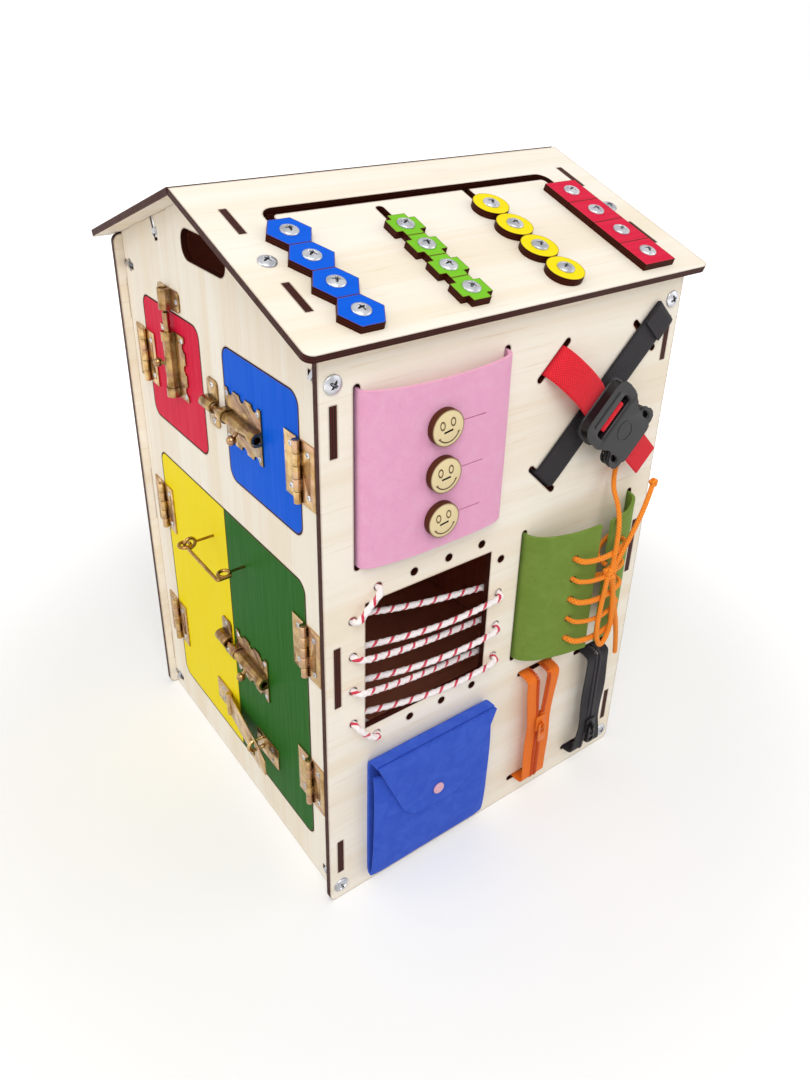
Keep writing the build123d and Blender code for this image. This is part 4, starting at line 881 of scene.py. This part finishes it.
flap = sheetPiece("buttonFlap", flapMiddle, 110, 70, pinkFelt, "house", (flapLength, flapLook["tall"]))
cutBy(flap, [placed(boxMesh(*flapLook["slit"]), frontFrame(0, z)) for z in buttonHeights])
standFor(flap, "button_flap")
tab = sheetPiece("buttonTab", tabMiddle, 30, 40, pinkFelt, "house", (tabLength, tabLook["tall"]), wave=0.05)
standFor(tab, "button_tab")  # the buttons' stems are sewn to it

# Wooden buttons with burnt faces. The lines are in millimetres from the middle of a face.
buttonLook = {"x": -59, "out": 9.3, "turns": (8, 6, 9), "radius": 10, "thick": 4.0, "bevel": 0.28,
              "stem": [(1.2, -6.2), (1.2, 0.3)], "ply": ("#ecd9ab", "#e3cb96")}
faceLook = {"eyeX": 3.3, "eyeY": 2.5, "eyeWide": 1.35, "eyeTall": 2.1, "line": 0.4, "smile": 6.8, "smileUp": -0.8,
            "smileTop": -4.0, "noseHalf": 2.8, "noseTall": 0.5, "noseY": -1.7, "cheekX": 6.0, "cheekY": -4.0,
            "cheekLine": 0.5, "ink": "#4a2a12", "nose": "#140905", "rim": "#5b3321", "rimFrom": 8.7, "rimTo": 10.0}


def burnFace(material, look):
    shader = material.node_tree.nodes["Principled BSDF"]
    add = partial(addNode, material.node_tree)
    x, y = add("SeparateXYZ", add("UVMap", uv_map="along")).outputs[:2]

    def lengthOf(*sides):
        squares = [add("Math MULTIPLY", side, side) for side in sides]
        return add("Math SQRT", add("Math ADD", *squares))

    lines = []  # a distance and the line's width
    for side in (-1, 1):
        shares = [add("Math DIVIDE", add("Math SUBTRACT", value, middle), size)
                  for value, middle, size in ((x, side * look["eyeX"], look["eyeWide"]),
                                              (y, look["eyeY"], look["eyeTall"]))]
        ring = add("Math ABSOLUTE", add("Math SUBTRACT", lengthOf(*shares), 1.0))
        cheekX = add("Math MULTIPLY", add("Math SUBTRACT", x, side * look["cheekX"]), 0.6)
        cheekY = add("Math ADD", y, -look["cheekY"])
        lines += [(ring, look["line"] * 0.62), (lengthOf(cheekX, cheekY), look["cheekLine"])]
    fromSmile = add("Math SUBTRACT", lengthOf(x, add("Math SUBTRACT", y, look["smileUp"])), look["smile"])
    smile = add("Math ABSOLUTE", fromSmile)
    lines.append((smile, look["line"]))
    marks = [add("MapRange", distance, width * 1.25, width * 0.6) for distance, width in lines]
    low = add("MapRange", y, look["smileTop"] + 0.2, look["smileTop"])  # only the foot of the ring smiles
    marks[-1] = add("Math MULTIPLY", marks[-1], low)
    mask = marks[0]
    for mark in marks[1:]:
        mask = add("Math MAXIMUM", mask, mark)
    noseY = add("Math ABSOLUTE", add("Math SUBTRACT", y, look["noseY"]))
    beyond = [add("Math SUBTRACT", value, half) for value, half in
              ((add("Math ABSOLUTE", x), look["noseHalf"]), (noseY, look["noseTall"]))]
    nose = add("MapRange", add("Math MAXIMUM", *beyond), 0.12, -0.05)
    rim = add("MapRange", lengthOf(x, y), look["rimFrom"], look["rimTo"], 0.0, 0.85)
    colour = shader.inputs["Base Color"].links[0].from_socket
    for share, burnt in ((rim, look["rim"]), (add("Math MULTIPLY", mask, 0.9), look["ink"]), (nose, look["nose"])):
        colour = add("Mix", share, colour, burnt)
    wire(shader, Base_Color=colour,
         Normal=add("Bump", invert=True, Height=add("Math MAXIMUM", mask, nose), Strength=0.7, Distance=0.0003))


buttonPly = plyMaterial("burntFaceButtonPly", front, up, buttonLook["ply"])
burnFace(buttonPly, faceLook)
parts = []
for i, z in enumerate(buttonHeights):
    disc = plateMesh("button", [ringOutline(buttonLook["radius"], steps=72)], buttonLook["thick"], buttonLook["bevel"])
    for part in (disc, turnedMesh("stem", buttonLook["stem"], 20)):
        addMap(part, [v.co.xy for v in part.vertices])
        placed(part, frontFrame(buttonLook["x"], z, buttonLook["out"], buttonLook["turns"][i]))
        parts.append(linkPiece("faceButtons" + str(i), part, buttonPly, None))
standFor(joined(parts), "face_buttons", body="house")

# The envelope pouch: paths of out and z, the pocket's from its mouth round the bottom and up the back to the fold
pouch = {"middle": -52.5, "wide": 90, "back": 1.05, "pinch": 0.22, "taper": 22.5, "corner": 13 / 54, "cornerIn": 11,
         "pocket": [(8.4, 97), (9.4, 86), (9.8, 72), (9.5, 53), (8.6, 33), (7.2, 17), (5.4, 10.6), (3.0, 9.2),
                    (1.4, 11.6), (1.05, 20), (1.05, 60), (1.05, 96), (1.15, 103), (2.4, 107.0), (5.5, 107.8),
                    (10.3, 107.9)],
         "flap": [(11.8, 108.0), (12.0, 104), (12.1, 96), (11.9, 84), (11.75, 70), (11.7, 54.2)],
         "stud": [(0.5, -0.1), (3.6, 0), (3.95, 0.25), (4.0, 0.6), (3.8, 1.0), (3.2, 1.22), (2.0, 1.3), (1.6, 1.18),
                  (0.02, 1.15)], "studPlace": (-52.5, 67, 12.75)}
pocketAt, pocketLength = sampledPath(pouch["pocket"])
pouchFlapAt, pouchFlapLength = sampledPath(pouch["flap"])


def pocketMiddle(s, t):
    p = pocketAt(s)
    edge = max(0.0, abs(t - 0.5) * 2 - 0.8) / 0.2
    pinch = 1 - pouch["pinch"] * edge ** 2 if p.x > 2.2 and p.y < 98 else 1.0  # the front is sewn down at its sides
    return onFront(pouch["middle"] + pouch["wide"] * (t - 0.5), p.y, pouch["back"] + (p.x - pouch["back"]) * pinch)


def pouchFlapMiddle(s, t):
    p = pouchFlapAt(s)
    half = pouch["wide"] / 2 - pouch["taper"] * s
    corner = (s - (1 - pouch["corner"])) / pouch["corner"]
    if corner > 0:
        half -= pouch["cornerIn"] * (1 - math.sqrt(max(0.0, 1 - corner ** 2)))
    return onFront(pouch["middle"] + (2 * t - 1) * half, p.y, p.x - 0.25 * s * (1 - (2 * t - 1) ** 2))


pocket = sheetPiece("pouchPocket", pocketMiddle, 150, 48, blueFelt, "house", (pocketLength, pouch["wide"]))
standFor(pocket, "pouch_pocket")
pouchFlap = sheetPiece("pouchFlap", pouchFlapMiddle, 70, 60, blueFelt, "pouch_flap", (pouchFlapLength, pouch["wide"]),
                       wave=0.05)
standFor(pouchFlap, "pouch_flap")
cap = placed(turnedMesh("pressStudCap", pouch["stud"]), frontFrame(*pouch["studPlace"]))
standFor(linkPiece("pressStudCap", cap, pinkStud, "pouch_flap"), "snap_cap")

# The lacing felt in two halves, paths of x and out, each with five punched holes at one x
lacing = {"bottom": 129.7, "tall": 93.6, "cut": 94, "droop": 1.6, "curl": 0.56, "holes": (144, 159, 174, 189, 204),
          "holeRadius": 2.4, "halves": {
              "lacingFeltLeft": ("lacing_felt_left", 43, False, [
                  (15.4, -8.6), (15.4, -2), (15.6, 2.2), (18.8, 6.6), (26, 10.6), (36, 14.0), (47, 16.8), (60, 18.6)]),
              "lacingFeltRight": ("lacing_felt_right", 84, True, [
                  (106, -8.6), (106, -2), (105.8, 3), (103.5, 6.6), (98, 10.4), (91, 14.0), (82, 16.6), (69, 18.6)])}}


def lacingMiddle(at, downwards, s, t):
    p = at(s)
    t = 1 - t if downwards else t  # so that both halves face out
    z = lacing["bottom"] + t * lacing["tall"] - lacing["droop"] * math.sin(math.pi * s) * t ** 3 + s * (1 - t)
    return onFront(p.x, z, p.y + lacing["curl"] * s ** 3 * (2 * t - 1) ** 2)


for name, (node, holeX, downwards, points) in lacing["halves"].items():
    at, length = sampledPath(points)
    half = sheetPiece(name, partial(lacingMiddle, at, downwards), 56, 66, greenFelt, "house", (length, lacing["cut"]))
    drill = [(lacing["holeRadius"], 3), (lacing["holeRadius"], 30)]
    cutBy(half, [placed(turnedMesh("drill", drill, 24), frontFrame(holeX, z)) for z in lacing["holes"]])
    standFor(half, node)
print("stage: felt")

# Webbing: paths along a strap from where the two cross, and out from the wall
straps = {
    "crossing": (60.5, 293.5), "width": 20, "thick": 1.4, "blackTurn": 45, "redTurn": -45,
    "black": [(-66, -4.8), (-58, -4.8), (-53, -4.7), (-51.6, -3.2), (-51.5, -0.6), (-50.4, 1.0), (-44, 1.2),
              (-20, 1.1), (0, 1.1), (25, 1.1), (45, 1.15), (60, 1.3), (70.3, 1.5)],
    "blackHem": [(55.5, 2.95), (62, 2.9), (69.6, 2.9), (70.6, 2.2)],
    "red": [(-66, -4.8), (-58, -4.8), (-53, -4.7), (-51.6, -3.2), (-51.5, -0.4), (-50.2, 2.8), (-45, 6.4),
            (-35, 9.6), (-24, 10.4), (-15, 8.8), (-9, 6.6), (-3.4, 5.9), (-1.0, 7.0), (-0.4, 10.0), (0.0, 13.0),
            (1.8, 14.3), (3.6, 13.0), (4.0, 10.4), (4.2, 8.6)],
    "redTail": [(29.4, 11.6), (31.6, 11.4), (33.8, 11.2), (36.0, 11.0), (40.0, 10.8), (46.0, 10.4), (52, 10.2),
                (60.6, 10.0)],
}
blackPlace, redPlace = (frontFrame(*straps["crossing"], 0, straps[turn]) for turn in ("blackTurn", "redTurn"))


def ribbon(name, points, placeOf, material, body=None, width=straps["width"], thickness=straps["thick"]):
    half, thin = width / 2, thickness / 2
    spread = [half - 0.5 - (width - 1.0) * k / 12 for k in range(13)]  # it thins over the last half millimetre
    outline = [(t, thin) for t in spread] + [(-half, 0)] + [(-t, -thin) for t in spread] + [(half, 0)]
    line = splineLine([(s, 0, out) for s, out in points])
    verts, uvs = [], []
    for p, ahead, travelled in walked(line):
        normal = Vector((-ahead.z, 0, ahead.x))
        for t, h in outline:
            verts.append(placeOf @ (p + Vector((0, t, 0)) + normal * h))
            uvs.append((travelled, t))
    return pieceFrom(name, verts, ringFaces(len(line), len(outline)), material, body, uvs, 60)


blackStrap = joined([ribbon("blackStrap", straps["black"], blackPlace, blackWeb),
                     ribbon("blackHem", straps["blackHem"], blackPlace, blackWeb, width=19.8, thickness=1.3)])
standFor(blackStrap, "black_strap", "house")
standFor(ribbon("redStrap", straps["red"], redPlace, redWeb, "house"), "red_strap")
tail = ribbon("redStrapTail", straps["redTail"], redPlace, redWeb, "buckle_socket", thickness=1.3)
standFor(tail, "red_strap_tail")

# The side-release buckle: outlines along and across the red strap, one side each, and prongs by place and end
buckle = {
    "frame": [(-11.2, 0.0), (-11.2, 12.4), (-10.4, 15.8), (-8.0, 18.0), (-3.5, 18.9), (3.0, 18.9), (6.6, 18.2),
              (8.2, 17.2)],
    "slot": (6.6, 28.0, 1.6, 1.8), "rail": (2.6, 25.5, 0.8, -6.6), "prongs": ((-10.6, 25.5), (0, 19.0), (10.6, 25.5)),
    "prongRoot": 6.0,
    "socket": [(8.6, 17.2), (11.6, 16.2), (14.6, 14.4), (17.0, 13.6), (19.4, 14.0), (21.2, 16.0), (22.8, 18.6),
               (25.4, 20.0), (28.6, 20.0), (31.0, 18.6), (32.0, 16.2), (31.8, 13.6), (33.6, 12.4), (34.2, 10.6)],
    "ends": (8.6, 34.2), "ear": (24.8, 16.2, 3.4, 1.5), "wallIn": 12.9, "wallEnd": 31.8,
    "endWall": (2.6, 25.0, 0.6, 31.4), "ring": (17.6, 6.4, 5.6),
}


def mirrored(points):
    return points + [(s, -t) for s, t in reversed(points)]


# Rows have a name, outlines, a foot above the wall, a thickness, and the rims' bevel and its segments
def mouldedPlates(node, body, rows):
    parts = []
    for name, outlines, foot, thickness, bevel, segments in rows:
        mesh = plateMesh(name, outlines, thickness, bevel, segments)
        placed(mesh, redPlace @ Matrix.Translation((0, 0, foot)))
        parts.append(linkPiece(name, mesh, blackAcetal, None))
    standFor(joined(parts), node, body)


rows = [("buckleProngs", [mirrored(buckle["frame"]), roundedBox(*buckle["slot"])], 8, 7.4, 1.5, 4)]
for t, end in buckle["prongs"]:
    prong = roundedBox(end - buckle["prongRoot"], 3.6, 1.1, (end + buckle["prongRoot"]) / 2, t)
    rows.append(("prong", [prong], 9.8, 2.4, 0.4, 2))
rows.append(("prongRail", [roundedBox(*buckle["rail"])], 15.2, 0.6, 0.3, 2))
mouldedPlates("buckle_prongs", "house", rows)

near, far = buckle["ends"]
earX, earY, earLong, earShort = buckle["ear"]
shell = [mirrored([(near, 0)] + buckle["socket"] + [(far, 0)])]
shell += [[(earX + earLong * x, side * (earY + earShort * y)) for x, y in ringOutline(1, steps=24)]
          for side in (-1, 1)]
rows = [("buckleSocket", shell, 12.8, 2.7, 1.2, 4), ("socketUnder", shell, 8.0, 1.4, 0.5, 2)]
for side in (-1, 1):
    wall = [(s, side * t) for s, t in buckle["socket"][:12]]
    wall += [(buckle["wallEnd"], side * buckle["wallIn"]), (near, side * buckle["wallIn"])]
    rows.append(("socketWall", [wall[::-side]], 9.3, 3.6, 0.1, 1))
ringX, ringOuter, ringInner = buckle["ring"]
rows += [("socketEnd", [roundedBox(*buckle["endWall"])], 9.3, 3.6, 0.1, 1),
         ("socketRing", [ringOutline(r, ringX, 0, 48) for r in (ringOuter, ringInner)], 15.25, 0.5, 0.2, 2)]
mouldedPlates("buckle_socket", "buckle_socket", rows)
print("stage: straps and buckle")

# Zips: two woven tapes with a row of teeth each, parted beyond the slider
zips = {  # x, top, bottom and slider's height, then tape, metal and the teeth's colour
    "orange": (36.5, 112.0, 17.6, 71.0, orangeTape, orangeEnamel, "#cf4f16"),
    "black": (89.5, 105.0, 16.4, 40.0, blackTape, blackAcetal, "#3a363b")}
zipLook = {"tapeWide": 9.6, "tapeThick": 0.9, "gap": 0.75, "parting": 3.5, "toothPitch": 1.7, "toothGap": 0.5,
           "toothTall": 2.3, "sliderHalf": 6.6, "toothed": (0.08, 0.84),  # where the teeth start, and their share
           "tooth": [(-2.5, -0.48), (-0.6, -0.48), (-0.1, -0.28), (-0.1, 0.28), (-0.6, 0.48), (-2.5, 0.48)]}
toothMesh = plateMesh("zipTooth", [zipLook["tooth"]], zipLook["toothTall"], 0.22)


def parting(z, top, bottom, slider):
    far = (z - slider) / (top - slider) if slider > (top + bottom) / 2 else (slider - z) / (slider - bottom)
    far = max(0.0, min(1.0, far))
    return zipLook["parting"] * far * (1.4 - 0.4 * far)


def tapeMiddle(at, x, heights, side, s, t):
    p = at(s)
    t = t if side < 0 else 1 - t
    loose = math.sin(math.pi * s) * t
    away = zipLook["gap"] + parting(p.y, *heights) + zipLook["tapeWide"] * t
    away += 0.5 * loose * math.sin(9 * s + side + x)
    return onFront(x + side * away, p.y, p.x + 0.9 * loose * math.sin(12 * s + 2 * side + x))


def toothPlaces(at, length, x, heights, side):
    start, share = zipLook["toothed"]
    count = int(length * share / zipLook["toothPitch"])
    places = []
    for k in range(count):
        s = start + share * (k + (0.5 if side > 0 else 0)) / count
        p, ahead = at(s), at(s + 0.004) - at(s - 0.004)
        if abs(p.y - heights[2]) < zipLook["sliderHalf"]:
            continue
        away = zipLook["toothGap"] + parting(p.y, *heights)
        place = Matrix.Translation(onFront(x + side * away, p.y, p.x)) @ frontFrame(0, 0).to_3x3().to_4x4()
        lean = math.atan2(-ahead.x, -ahead.y)
        place = place @ Matrix.Rotation(-lean, 4, "X") @ Matrix.Rotation(math.pi if side > 0 else 0, 4, "Z")
        places.append(place @ Matrix.Translation((0, 0, -zipLook["toothTall"] / 2)))
    return places


for colour, (x, top, bottom, slider, tape, metal, tooth) in zips.items():
    at, length = sampledPath([
        (-8.6, top), (-2, top), (4.4, top - 0.2), (8.5, top - 1.5), (9.05, top - 4.3), (9.05, top - 7.3),
        (9.05, (top + bottom) / 2), (9.05, bottom + 8.2), (9.05, bottom + 4.8), (8.5, bottom + 1.5),
        (4.4, bottom + 0.2), (-2, bottom), (-8.6, bottom)])
    heights = (top, bottom, slider)
    halves = [sheetPiece(colour + "Tape", partial(tapeMiddle, at, x, heights, side), 90, 10, tape, None,
                         (length, zipLook["tapeWide"]), zipLook["tapeThick"], 0.0) for side in (-1, 1)]
    standFor(joined(halves), colour + "_zip_tape", "house")
    for end, width in (("_slider", 0.35), ("_pull", 0.3)):
        softened(colour + end, metal, colour + end, width, 3)
    places = toothPlaces(at, length, x, heights, -1) + toothPlaces(at, length, x, heights, 1)
    enamel = mouldedMaterial(colour + "ZipTooth", tooth, 0.35)
    scattered(colour + "ZipTeeth", toothMesh, places, enamel, "house")
print("stage: zips")

# Light and floor. The lamps by place, target, size and watts; the floor glows more away from the house, as far as
# the eye sees it, so that it runs out into white.
lamps = {"keyLight": ((-0.7, -1.1, 1.8), (0, 0, 0.25), 1.2, 21), "sideLight": ((-1.7, 0.3, 0.9), (0, 0, 0.2), 1.2, 6),
         "fillLight": ((1.4, -1.2, 0.9), (0, 0, 0.2), 1.4, 5)}
studio = {"paper": "#dcdbd9", "glow": (0.24, 0.7, 0.27, 0.85), "roomLight": 0.52, "half": 6}
for name, (place, target, size, watts) in lamps.items():
    data = bpy.data.lights.new(name, "AREA")
    data.energy, data.size = watts, size
    lamp = bpy.data.objects.new(name, data)
    lamp.location = place
    lamp.rotation_euler = (Vector(target) - Vector(place)).to_track_quat("-Z", "Y").to_euler()
    bpy.context.scene.collection.objects.link(lamp)


# 1 on the rays that show a surface, straight or mirrored, and 0 on those that only carry its light
def seenRays(add):
    rays = add("LightPath").outputs
    bounced = add("Math MAXIMUM", rays["Is Glossy Ray"], rays["Is Transmission Ray"])
    return add("Math MAXIMUM", rays["Is Camera Ray"], bounced)


world = bpy.data.worlds.new("studio")
world.use_nodes = True
bpy.context.scene.world = world
add = partial(addNode, world.node_tree)
wire(world.node_tree.nodes["Background"], Color="#ffffff",
     Strength=add("MapRange", seenRays(add), 0.0, 1.0, studio["roomLight"], 1.0))
half = studio["half"]
floorMesh = newMesh("studioFloor", [(-half, -half, 0), (half, -half, 0), (half, half, 0), (-half, half, 0)],
                    [(0, 1, 2, 3)])
floorPiece = bpy.data.objects.new("studioFloor", floorMesh)
bpy.context.scene.collection.objects.link(floorPiece)
paper, add, shader = newMaterial("paleStudioPaper", Roughness=0.95, Base_Color=studio["paper"],
                                 Specular_IOR_Level=0.1, Emission_Color="#ffffff")
away = add("VectorMath LENGTH", add("TexCoord").outputs["Object"])
glow = add("MapRange", away, *studio["glow"])
wire(shader, Emission_Strength=add("Math MULTIPLY", seenRays(add), glow))
floorMesh.materials.append(paper)
print("stage: light and floor")
